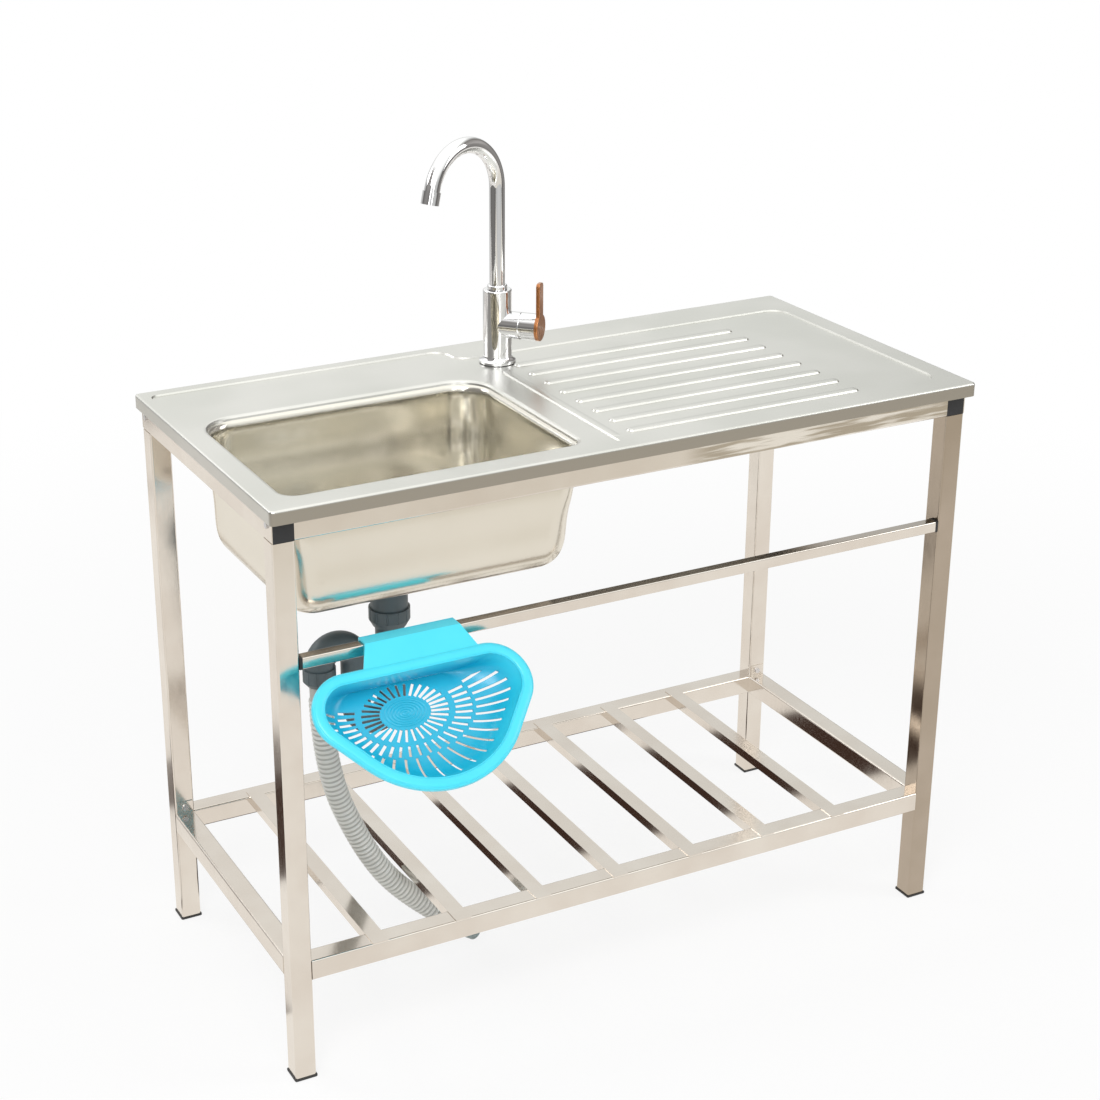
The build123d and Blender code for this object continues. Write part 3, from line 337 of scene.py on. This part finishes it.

# %% [markdown]
# ## Polished bowl steel
# The bowl is drawn from its own sheet and polished, so it is smoother than the deck, with a faint grain
# that runs round its walls. Its two faces get two tones of painted light: the inside is painted deeper
# in tone as a painted reflection of its own walls, and the outside is painted paler as a painted
# reflection of the pale floor. The CAD node is one closed shell, so the finish finds the side by
# itself.
# The dot product of the normal and the way from the middle of the bowl is above 0 outside and below 0
# inside.

# %% Bowl steel
bowl_low, bowl_high = box_of("bowl")
bowl_middle = tuple((bowl_low + bowl_high) / 2)
# Painted reflection: the inside tones are darker for its own walls, and the outside tones paler for the
# floor.
inner_reflection_tones = ((0.66, 0.64, 0.58), (0.74, 0.715, 0.65))
outer_reflection_tones = ((0.74, 0.70, 0.62), (0.82, 0.785, 0.71))
bowl_steel = Finish("bowl_steel", metallic=1.0)
bowl_grain = bowl_steel.noise(0.0007, 3, (0.03, 0.03, 1), 0.6)
bowl_cloud = bowl_steel.noise(0.12, 2)
from_middle = bowl_steel.vector_maths("SUBTRACT", {0: bowl_steel.place(), 1: bowl_middle})
outward = bowl_steel.vector_maths("DOT_PRODUCT", {0: bowl_steel.facing(), 1: from_middle}, "Value")
inner_reflection_tone = bowl_steel.mix(bowl_cloud, *inner_reflection_tones)
outer_reflection_tone = bowl_steel.mix(bowl_cloud, *outer_reflection_tones)
bowl_steel.set("Base Color", bowl_steel.mix(outward.ramp(-0.001, 0.001), inner_reflection_tone, outer_reflection_tone))
bowl_steel.set("Roughness", 0.16 + bowl_grain * 0.05 + bowl_cloud * 0.05)
bowl_steel.set("Normal", bowl_steel.bump(bowl_grain, 0.00002, 0.3))
paint(bowl_steel, "bowl")
print("bowl steel done")

# %% [markdown]
# ## Polished frame steel
# The tubes are brighter than the deck. Their colour is the steel's own, with the warm and dark things
# around them painted on as soft smears of painted reflection. The same tube gets other painted
# reflections by place: the upper faces of the shelf and of the cross rail are painted darker, the front
# rail gets streaky painted reflections under the drainer, and the right leg in front is painted dark
# all over. So one function makes the steel from the two tones that the painted reflections run between,
# how much of its tone each upper face keeps, and where the streaky reflections begin.

# %% Frame steel
# The steel's own colour, with painted reflection smears between these two tones.
warm_reflection_tones = ((0.72, 0.66, 0.60), (0.79, 0.745, 0.69))
# Painted reflection: the right front leg is painted dark all over.
dark_reflection_tones = ((0.42, 0.355, 0.285), (0.47, 0.40, 0.33))
# Painted reflection: the dark tone that upward faces are blended towards.
upper_face_reflection_tone = (0.10, 0.075, 0.05)
# Painted reflection: a dark and a bright tone for the streaky reflections.
reflection_streak_tones = ((0.38, 0.33, 0.25), (0.97, 0.95, 0.92))
reflection_streak_fade = 0.05
reflection_streak_share = 0.7


def tube_steel(name, tones, upper_share=1.0, reflection_streaks_from=None):
    """Polished tube between two tones of painted reflection, darker on top as painted reflection, with
    streaky painted reflections to the right of a place.
    """
    steel = Finish(name, metallic=1.0)
    reflection_smear_noise = steel.noise(0.11, 3, (1, 1, 1), 0.6)
    scratch = steel.noise(0.004, 3, (1, 1, 0.3))
    upward = steel.part(steel.facing(), "Z").ramp(0.7, 0.9)
    tone = steel.mix(reflection_smear_noise.ramp(0.25, 0.75), *tones)
    # Painted reflection: faces that look up are darkened towards a dark brown, as far as one minus the
    # upper share.
    tone = steel.mix(upward * (1 - upper_share), tone, upper_face_reflection_tone)
    # Painted reflection: streaky dark and bright tones on the front rail, to the right of a given
    # place.
    if reflection_streaks_from is not None:
        sideways = steel.part(steel.place(), "X").ramp(reflection_streaks_from, reflection_streaks_from + reflection_streak_fade)
        reflection_streak_noise = steel.noise(0.009, 3, (0.07, 1, 1), 0.55)
        streak_reflection_tone = steel.mix(reflection_streak_noise.ramp(0.45, 0.60), *reflection_streak_tones)
        tone = steel.mix(sideways * reflection_streak_share, tone, streak_reflection_tone)
    steel.set("Base Color", tone)
    steel.set("Roughness", 0.10 + scratch * 0.1)
    steel.set("Normal", steel.bump(scratch, 0.00002, 0.4))
    return steel


def names_from(*starts):
    """The CAD nodes whose names start like this."""
    return [name for name in nodes if name.startswith(starts)]


shelf_names = names_from("shelf_rail", "shelf_slat")
tube_names = [
    name
    for name in names_from("leg_", "upper_rail")
    if name not in ("leg_front_right", "upper_rail_front")
]
paint(tube_steel("frame_steel", warm_reflection_tones), *tube_names)
paint(tube_steel("shelf_steel", warm_reflection_tones, upper_share=0.72), *shelf_names)
paint(tube_steel("cross_rail_steel", warm_reflection_tones, upper_share=0.4), "cross_rail")
paint(tube_steel("front_rail_steel", warm_reflection_tones, reflection_streaks_from=0.05), "upper_rail_front")
paint(tube_steel("dark_reflection_frame_steel", dark_reflection_tones), "leg_front_right")
print(len(tube_names) + len(shelf_names) + 3, "tubes and slats")

# %% [markdown]
# ## Black mouldings
# The foot caps, corner connectors and rail plugs are moulded in black plastic. A mould leaves a fine
# texture like pores, so small noise goes into a shallow bump and makes the gloss uneven.

# %% Black mouldings
black_plastic = Finish("black_plastic", base_color=(0.018, 0.018, 0.020))
pores = black_plastic.noise(0.0009, 2)
black_plastic.set("Roughness", 0.38 + pores * 0.2)
black_plastic.set("Normal", black_plastic.bump(pores, 0.00004, 0.5))
black_names = names_from("foot_cap", "corner_conn", "cross_rail_plug")
paint(black_plastic, *black_names)
print(len(black_names), "black mouldings")

# %% [markdown]
# ## Clouded finishes
# Chrome, zinc, brass, rubber and plain plastic differ in colour and gloss, but on a real piece none of
# them is perfectly even. One function clouds the roughness with noise of a size that fits the piece,
# and blends two tones with the same noise where the colour is uneven too.

# %% Clouded finish


def clouded(name, rough, spread, blot, detail=3, tones=None, **constants):
    """A finish with uneven gloss, and with uneven colour where two tones are given."""
    finish = Finish(name, **constants)
    unevenness = finish.noise(blot, detail)
    if tones:
        finish.set("Base Color", finish.mix(unevenness, *tones))
    finish.set("Roughness", rough + unevenness * spread)
    return finish


print("clouded finishes ready")

# %% [markdown]
# ## Bright metal
# The tap is chromed and is the mirror of the unit, so its haze is very slight. The screws are zinc
# plated and rougher. The shank and its nut are bare brass, and the washer and the pieces of the waste
# in the bowl are stainless steel.

# %% Bright metal
chrome = clouded("tap_chrome", 0.045, 0.03, 0.03, base_color=(0.82, 0.82, 0.83), metallic=1.0)
tap_names = ["tap_base_ring", "tap_body", "cartridge_dome", "lever_hub"]
spout_names = ["spout_tube", "spout_collar", "aerator"]
paint(chrome, *tap_names, *spout_names)
zinc = clouded("screw_steel", 0.2, 0.2, 0.004, base_color=(0.66, 0.66, 0.68), metallic=1.0)
paint(zinc, "connector_screws", "shelf_screws")
brass_tones = ((0.62, 0.45, 0.17), (0.74, 0.56, 0.25))
brass = clouded("shank_brass", 0.25, 0.15, 0.01, tones=brass_tones, metallic=1.0)
paint(brass, "tap_shank", "tap_fixing_nut")
drain_steel = clouded("drain_steel", 0.2, 0.15, 0.003, base_color=(0.62, 0.615, 0.59), metallic=1.0)
paint(drain_steel, "tap_fixing_washer", "waste_flange", "strainer_plug")
print("chrome on", len(tap_names) + len(spout_names), "pieces of the tap")

# %% [markdown]
# ## Copper-brown lever
# The lever's paddle is lacquered in a copper brown that shimmers between two tones. It could be plain
# metal, but lacquer has a second shine over the colour, so it is mostly metallic under a clear coat.
# Noise that is drawn out upwards blends the two browns.

# %% Lever
bronze = Finish("lever_bronze", metallic=0.75, coat_weight=0.6, coat_roughness=0.08)
lever_grain = bronze.noise(0.02, 3, (1, 1, 0.4))
bronze.set("Base Color", bronze.mix(lever_grain, (0.36, 0.12, 0.035), (0.58, 0.24, 0.08)))
bronze.set("Roughness", 0.22 + lever_grain * 0.12)
paint(bronze, "lever_paddle")
print("lever done")

# %% [markdown]
# ## Seals, cartridge and trap
# The seals are matt black rubber and the tap's cartridge is pale plastic. The trap is dark blue-grey
# plastic and the fitting on the end of the hose a lighter one. Each of those two blends two near tones,
# because a large moulding in one flat colour looks like a drawing.

# %% Seals, cartridge and trap
rubber = clouded("seal_rubber", 0.6, 0.25, 0.002, detail=2, base_color=(0.03, 0.03, 0.03))
paint(rubber, "tap_gasket", "bowl_seal", "trap_seal")
cartridge_plastic = clouded(
    "cartridge_plastic", 0.35, 0.2, 0.003, detail=2, base_color=(0.72, 0.72, 0.69)
)
paint(cartridge_plastic, "cartridge", "cartridge_carrier")
trap_tones = ((0.055, 0.075, 0.085), (0.10, 0.13, 0.14))
trap_plastic = clouded("trap_plastic", 0.32, 0.2, 0.02, tones=trap_tones)
paint(trap_plastic, "waste_body", "trap_nut", "trap_tube", "outlet_nut")
fitting_tones = ((0.22, 0.27, 0.27), (0.30, 0.36, 0.36))
fitting_plastic = clouded("fitting_plastic", 0.4, 0.2, 0.01, tones=fitting_tones)
paint(fitting_plastic, "hose_end_fitting")
print("seals, cartridge and trap done")

# %% [markdown]
# ## Basket plastic
# The basket is glossy cyan plastic. Its rim is painted pale as a painted highlight where it catches the
# light, and the dish below it is painted a deeper blue as painted shade. The dish leans, so its depth
# is measured square to the plane of the rim. That plane starts at the basket's hinge line, just off the
# upper front edge of the cross rail, and plain maths turns the place on the piece about that line.

# %% Basket plastic
basket_tilt = radians(42)
basket_across = -0.320
saddle_stand = 0.0026
rail_low, rail_high = box_of("cross_rail")
basket_hinge = Vector((basket_across, rail_low.y - saddle_stand, rail_high.z + saddle_stand))
# Painted light: the pale rim tones are a painted highlight, and the deeper dish tones are painted
# shade.
lit_rim_tones = ((0.045, 0.68, 0.86), (0.07, 0.74, 0.91))
shaded_dish_tones = ((0.004, 0.42, 0.63), (0.01, 0.48, 0.70))
dish_shade_depth = (-0.003, -0.030)
cyan = Finish("basket_plastic", coat_weight=0.25, coat_roughness=0.15)
cyan_cloud = cyan.noise(0.05, 2)
cyan_place = cyan.place()
basket_x, basket_y, basket_z = (cyan.part(cyan_place, axis) for axis in "XYZ")
out_from_hinge = basket_y - basket_hinge.y
up_from_hinge = basket_z - basket_hinge.z
downhill = out_from_hinge * cos(basket_tilt) + up_from_hinge * sin(basket_tilt)
above_rim = up_from_hinge * cos(basket_tilt) - out_from_hinge * sin(basket_tilt)
lit_rim_tone = cyan.mix(cyan_cloud, *lit_rim_tones)
shaded_dish_tone = cyan.mix(cyan_cloud, *shaded_dish_tones)
cyan.set("Base Color", cyan.mix(above_rim.ramp(*dish_shade_depth), lit_rim_tone, shaded_dish_tone))
cyan.set("Roughness", 0.28 + cyan_cloud * 0.12)
paint(cyan, "strainer_basket")
print("basket tones done")

# %% [markdown]
# ## Rings on the basket's floor
# The middle of the floor has fine raised rings, oval like the slots round them. A sine wave of the
# distance from the middle gives them, with the distance along the slope divided by the shape of the
# oval. They are far finer than the slots, so they go into the bump.

# %% Rings
floor_middle = (-0.0265, -0.0812)
oval = 0.65
ring_pitch = 0.0045
ring_reach = 0.030
ring_height = 0.0009
aside = basket_x - (basket_hinge.x + floor_middle[0])
ahead = (downhill - floor_middle[1]) / oval
from_rings = (aside**2 + ahead**2) ** 0.5
rings = (from_rings * (2 * pi / ring_pitch)).wave() * from_rings.ramp(ring_reach, ring_reach - 0.001)
cyan.set("Normal", cyan.bump(rings * 0.5 + 0.5, ring_height, 0.6))
print("all CAD nodes painted:", all(node.data.materials for node in nodes.values()))

# %% [markdown]
# ## Growing a piece along a line
# The hose and the rim of the basket both follow a line, so each is a Geometry Nodes tree with named
# inputs for its sizes. The same short way to write nodes works there. A tree ends in Realize Instances
# and Set Material, and its result is kept as a plain mesh, because only plain meshes are exported.

# %% Geometry helpers


def new_tree(name, sizes):
    """An empty Geometry Nodes tree with a geometry in and out, named sizes and a finish."""
    tree = bpy.data.node_groups.new(name, "GeometryNodeTree")
    tree.interface.new_socket("Geometry", in_out="INPUT", socket_type="NodeSocketGeometry")
    tree.interface.new_socket("Geometry", in_out="OUTPUT", socket_type="NodeSocketGeometry")
    for label, default in sizes.items():
        socket = tree.interface.new_socket(label, in_out="INPUT", socket_type="NodeSocketFloat")
        socket.default_value = default
    tree.interface.new_socket("Finish", in_out="INPUT", socket_type="NodeSocketMaterial")
    return tree


class Geometry(Network):
    """The same short way to write nodes, for a Geometry Nodes tree."""

    def __init__(self, tree):
        self.tree = tree
        self.inside = tree.nodes.new("NodeGroupInput")
        self.outside = tree.nodes.new("NodeGroupOutput")

    def given(self, label):
        return Value(self, self.inside.outputs[label])

    def finish(self, geometry):
        real = self.node("GeometryNodeRealizeInstances", {}, {"Geometry": geometry})
        inputs = {"Geometry": real, "Material": self.given("Finish")}
        done = self.node("GeometryNodeSetMaterial", {}, inputs)
        self.feed(self.outside.inputs[0], done)


def grow(tree, base, name, body, material):
    """Run a tree on a base mesh and keep the result as a plain piece on a body."""
    carrier = bpy.data.objects.new(name + "_base", base)
    bpy.context.scene.collection.objects.link(carrier)
    modifier = carrier.modifiers.new("grow", "NODES")
    modifier.node_group = tree
    for item in tree.interface.items_tree:
        if item.in_out == "INPUT" and item.name == "Finish":
            modifier[item.identifier] = material
    seen = bpy.context.evaluated_depsgraph_get()
    mesh = bpy.data.meshes.new_from_object(carrier.evaluated_get(seen))
    bpy.data.objects.remove(carrier)
    piece = bpy.data.objects.new(name, mesh)
    bpy.context.scene.collection.objects.link(piece)
    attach(piece, body)
    print(name, len(mesh.vertices), "points,", len(mesh.polygons), "faces")
    return piece


print("geometry helpers ready")

# %% [markdown]
# ## Ribbed hose
# A drain hose is blown with a rib every few millimetres, so that it bends without kinking. The line of
# the route is resampled so finely that a rib takes eight rings, and a rounded wave along the line
# scales the tube's round profile, so it swells at every rib and stays plain in a cuff at each end. The
# wave is stored as an attribute too, from which the finish knows the grooves.

# %% Hose tree
rib_pitch = 0.007
hose_radius = 0.0155
root_radius = 0.0135
cuff_length = 0.02
cuff_fade = 0.002
rings_per_rib = 8

hose_sizes = {"Pitch": rib_pitch, "Radius": hose_radius, "Root": root_radius, "Cuff": cuff_length}
hose_tree = new_tree("ribbed_hose", hose_sizes)
make = Geometry(hose_tree)
line = make.node("GeometryNodeMeshToCurve", {}, {"Mesh": make.given("Geometry")})
length_of = make.node("GeometryNodeCurveLength", {}, {"Curve": line})
step = make.given("Pitch") / rings_per_rib
resampled = make.node("GeometryNodeResampleCurve", {"mode": "LENGTH"}, {"Curve": line, "Length": step})
along = make.node("GeometryNodeSplineParameter", {}, {}, "Length")
turn = along / make.given("Pitch") * (2 * pi)
swell = (turn.wave() * 0.8 + 0.5).most(0.0).least(1.0)
from_cuff = (along.least(length_of - along) - make.given("Cuff")) / cuff_fade
swell = swell * from_cuff.most(0.0).least(1.0)
thick = make.given("Root") + (make.given("Radius") - make.given("Root")) * swell
named = make.node(
    "GeometryNodeStoreNamedAttribute",
    {"data_type": "FLOAT", "domain": "POINT"},
    {"Geometry": resampled, "Name": "rib", "Value": swell},
)
ring = make.node("GeometryNodeCurvePrimitiveCircle", {}, {"Resolution": 32, "Radius": 1.0})
tube = make.node(
    "GeometryNodeCurveToMesh",
    {},
    {"Curve": named, "Profile Curve": ring, "Scale": thick, "Fill Caps": True},
)
make.finish(make.node("GeometryNodeSetShadeSmooth", {}, {"Geometry": tube}))
print("hose tree has", len(hose_tree.nodes), "nodes")

# %% [markdown]
# ## Hose
# The hose is pale grey, slightly waxy plastic that lets a little light in, which subsurface scattering
# gives. The grooves between its ribs are painted darker as painted shade, which keeps the ribs clear
# from afar. It replaces the CAD hose and rides on the frame's body.

# %% Hose
hose_tones = ((0.58, 0.58, 0.54), (0.70, 0.70, 0.67))
# Painted shade: the grooves between the ribs get a darker tone.
groove_painted_shade = (0.42, 0.42, 0.39)
hose_plastic = Finish("hose_plastic", subsurface_weight=0.15, subsurface_radius=(0.01, 0.01, 0.009))
hose_cloud = hose_plastic.noise(0.03, 3)
rib_height = hose_plastic.node("ShaderNodeAttribute", {"attribute_name": "rib"}, output="Fac")
hose_tone = hose_plastic.mix(hose_cloud, *hose_tones)
hose_plastic.set("Base Color", hose_plastic.mix(rib_height.ramp(0.0, 0.6), groove_painted_shade, hose_tone))
hose_plastic.set("Roughness", 0.35 + hose_cloud * 0.15)
drain_hose = grow(hose_tree, hose_line, "hose", "frame", hose_plastic.owner)
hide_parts("drain_hose")

# %% [markdown]
# ## Rolled rim of the basket
# The lip of the basket is softly rolled. The CAD lip is a flat band, so a low crown goes all round it.
# Its line is the middle of the band, a triangle with round corners. Each corner is an arc between its
# two sides, so the whole line follows from three corners, three radii and an inset.

# %% Rim line
basket_shift = -0.0125
basket_span = 0.392
basket_apex = 0.27615
basket_rim_back = 0.030
side_radius = 0.050
apex_radius = 0.128
roll_inset = 0.008
rim_corners = [
    ((-basket_span / 2, -basket_rim_back), side_radius),
    ((0, -basket_apex), apex_radius),
    ((basket_span / 2, -basket_rim_back), side_radius),
]


def round_loop(corners, inset, steps=24):
    """Points on a polygon with round corners, drawn in by an inset. It runs anticlockwise."""
    points = []
    for number, (corner, radius) in enumerate(corners):
        corner = Vector(corner)
        before = (corner - Vector(corners[number - 1][0])).normalized()
        after = (Vector(corners[(number + 1) % len(corners)][0]) - corner).normalized()
        turned = before.angle(after)
        inward = (after - before).normalized()
        middle = corner + inward * (radius / cos(turned / 2))
        start = atan2(-before.x, before.y)
        for step_number in range(steps + 1):
            angle = start + turned * step_number / steps
            points.append(middle + (radius - inset) * Vector((cos(angle), sin(angle))))
    return points


rim_points = round_loop(rim_corners, roll_inset)
rim_count = len(rim_points)
rim_line = bpy.data.meshes.new("rim_line")
rim_line.from_pydata(
    [(point.x + basket_shift, point.y, 0) for point in rim_points],
    [(number, (number + 1) % rim_count) for number in range(rim_count)],
    [],
)
print("rim line", rim_count, "points")

# %% [markdown]
# ## Rim tree
# A bead with a low oval section is swept along that line. The section is a circle that is scaled to
# the width and height of the roll, and its normals are kept upright, so it never twists. The bead is
# made level and then leaned into the plane of the basket, half sunk in the CAD lip.

# %% Rim tree
roll_width = 0.012
roll_height = 0.004
rim_tree = new_tree("rolled_rim", {"Width": roll_width, "Height": roll_height})
roll = Geometry(rim_tree)
loop = roll.node("GeometryNodeMeshToCurve", {}, {"Mesh": roll.given("Geometry")})
upright = roll.node("GeometryNodeSetCurveNormal", {"mode": "Z_UP"}, {"Curve": loop})
disc = roll.node("GeometryNodeCurvePrimitiveCircle", {}, {"Resolution": 24, "Radius": 0.5})
size = roll.node("ShaderNodeCombineXYZ", {}, {0: roll.given("Width"), 1: roll.given("Height"), 2: 1.0})
section = roll.node("GeometryNodeTransform", {}, {"Geometry": disc, "Scale": size})
bead = roll.node("GeometryNodeCurveToMesh", {}, {"Curve": upright, "Profile Curve": section})
lean = roll.node(
    "GeometryNodeTransform",
    {},
    {"Geometry": bead, "Translation": tuple(basket_hinge), "Rotation": (basket_tilt, 0, 0)},
)
roll.finish(roll.node("GeometryNodeSetShadeSmooth", {}, {"Geometry": lean}))
rim_roll = grow(rim_tree, rim_line, "basket_rim", "strainer_basket", cyan.owner)

# %% [markdown]
# ## Studio floor
# The floor is white to the camera, as in a catalogue picture, and a share of it is lit, which keeps a
# faint shadow under the feet. Bright metal shows the room more than itself, so its reflections see
# another floor: a warm pale one that is duller nearer the camera, with a few dark patches where the
# tubes and slats need something to mirror.

# %% Floor
floor_size = 3.0
floor_mesh = bpy.data.meshes.new("floor")
floor_mesh.from_pydata(
    [(x * floor_size, y * floor_size, 0) for x, y in ((-1, -1), (1, -1), (1, 1), (-1, 1))],
    [],
    [(0, 1, 2, 3)],
)
floor = bpy.data.objects.new("floor", floor_mesh)
bpy.context.scene.collection.objects.link(floor)
ground = Network(bpy.data.materials.new("floor_white"))
floor_mesh.materials.append(ground.owner)
print("floor", 2 * floor_size, "m square")

# %% What the metal sees on the floor
patch_edge = 0.012
warm_floor = (0.98, 0.95, 0.90)
dark_floor = (0.055, 0.03, 0.022)
near_floor = (0.84, 0.80, 0.72)
spot = ground.node("ShaderNodeTexCoord", output="Object")
sideways = ground.part(spot, "X")
backward = ground.part(spot, "Y")


def floor_patch(low, high):
    """1 inside a rectangle on the floor."""
    inside = sideways.ramp(low[0], low[0] + patch_edge) * sideways.ramp(high[0], high[0] - patch_edge)
    inside = inside * backward.ramp(low[1], low[1] + patch_edge)
    return inside * backward.ramp(high[1], high[1] - patch_edge)


behind_left = floor_patch((-0.95, 0.30), (-0.62, 0.62))
under_shelf = floor_patch((-0.42, 0.16), (0.36, 0.42))
beside_rail = floor_patch((-0.553, -0.02), (-0.515, 0.30))
blots = ground.noise(0.30, 2, (1, 0.8, 1)).ramp(0.56, 0.60) * backward.ramp(0.45, 0.5)
dark = behind_left.most(under_shelf).most(beside_rail * 0.8).most(blots * 0.8)
mirror_floor = ground.mix(dark, warm_floor, dark_floor)
mirror_floor = ground.mix(backward.ramp(-1.35, -1.75), mirror_floor, near_floor)
print("dark patches done")

# %% [markdown]
# ## White to the camera
# Light Path tells which kind of ray has met the floor. A ray from the camera gets mostly plain white,
# and near the unit some of the lit surface with its shadows. A ray from shiny metal gets the other
# floor. All other rays get the lit surface, so the floor lights the unit as a real one would.

# %% Floor shader
own_white = 0.82
ray_from_camera = ground.node("ShaderNodeLightPath", output="Is Camera Ray")
ray_from_metal = ground.node("ShaderNodeLightPath", output="Is Glossy Ray")
away = ground.vector_maths("LENGTH", {0: spot}, "Value")
white_share = own_white + away.ramp(0.9, 2.6) * (1 - own_white)
lit = ground.node("ShaderNodeBsdfDiffuse", {}, {"Color": (0.9, 0.9, 0.9)})
white = ground.node("ShaderNodeEmission", {}, {"Color": (1, 1, 1), "Strength": 1.0})
mirrored = ground.node("ShaderNodeEmission", {}, {"Color": mirror_floor, "Strength": 1.0})
to_camera = ground.node("ShaderNodeMixShader", {}, {0: ray_from_camera * white_share, 1: lit, 2: white})
shown = ground.node("ShaderNodeMixShader", {}, {0: ray_from_metal, 1: to_camera, 2: mirrored})
ground.feed(ground.tree.nodes["Material Output"].inputs["Surface"], shown)
print("floor shader has", len(ground.tree.nodes), "nodes")

# %% [markdown]
# ## World
# The world is white to the camera and even for the light that falls on the unit. For reflections it
# is a room: from side to side it goes through darker and paler walls, and it brightens in two bands
# with height. Without them the tubes and the tap would be plain white or plain grey.

# %% World
side_walls = [
    (0.0, (0.30, 0.29, 0.28)),
    (0.12, (0.22, 0.21, 0.20)),
    (0.22, (0.85, 0.85, 0.84)),
    (0.5, (1.0, 1.0, 0.98)),
    (0.78, (0.86, 0.87, 0.85)),
    (0.88, (0.16, 0.15, 0.14)),
    (1.0, (0.45, 0.43, 0.41)),
]
plain_level = 0.62
world = bpy.data.worlds.new("studio")
bpy.context.scene.world = world
sky = Network(world)
ray = sky.node("ShaderNodeTexCoord", output="Generated")
ray_side = sky.part(ray, "X")
ray_height = sky.part(ray, "Z")
walls = sky.node("ShaderNodeValToRGB", {"stops": side_walls}, {0: ray_side * 0.5 + 0.5})
camera_ray = sky.node("ShaderNodeLightPath", output="Is Camera Ray")
glossy_ray = sky.node("ShaderNodeLightPath", output="Is Glossy Ray")
bands = ray_height.ramp(0.08, 0.34) * 0.55 + ray_height.ramp(0.45, 0.75) * 0.4
level = plain_level + camera_ray * (1 - plain_level) + glossy_ray * (bands + 0.07)
background = sky.tree.nodes["Background"]
sky.feed(background.inputs["Color"], sky.mix(glossy_ray, (1.0, 1.0, 1.0), walls))
sky.feed(background.inputs["Strength"], level)
print("world has", len(sky.tree.nodes), "nodes")

# %% [markdown]
# ## Lamps
# A large soft box from the front left models the unit, one from the right fills its shaded side and
# one from behind draws a line along the edges. Two narrow ones in front are there for the bowl, where
# each shows as an upright band of light on the back wall.

# %% Lamps


def soft_lamp(name, place, aim, size, power):
    """A soft box that points at a spot on the unit."""
    lamp_data = bpy.data.lights.new(name, "AREA")
    lamp_data.shape = "RECTANGLE"
    lamp_data.size, lamp_data.size_y = size
    lamp_data.energy = power
    lamp = bpy.data.objects.new(name, lamp_data)
    lamp.location = place
    lamp.rotation_euler = (Vector(aim) - Vector(place)).to_track_quat("-Z", "Y").to_euler()
    bpy.context.scene.collection.objects.link(lamp)
    return lamp


unit_middle = (0, 0, 0.6)
deck_middle = (0, 0, 0.8)
bowl_aim = (-0.25, 0, 0.7)
lamps = [
    soft_lamp("key", (-1.8, -2.0, 3.0), unit_middle, (1.6, 1.6), 48),
    soft_lamp("fill", (2.6, -1.6, 2.0), unit_middle, (1.2, 2.0), 22),
    soft_lamp("rim", (-2.4, 2.2, 2.4), deck_middle, (1.6, 1.0), 20),
    soft_lamp("bowl_left", (-2.3, -2.5, 1.9), bowl_aim, (0.35, 1.3), 6),
    soft_lamp("bowl_right", (-0.5, -3.1, 1.9), bowl_aim, (0.30, 1.3), 6),
]
print(len(lamps), "lamps")
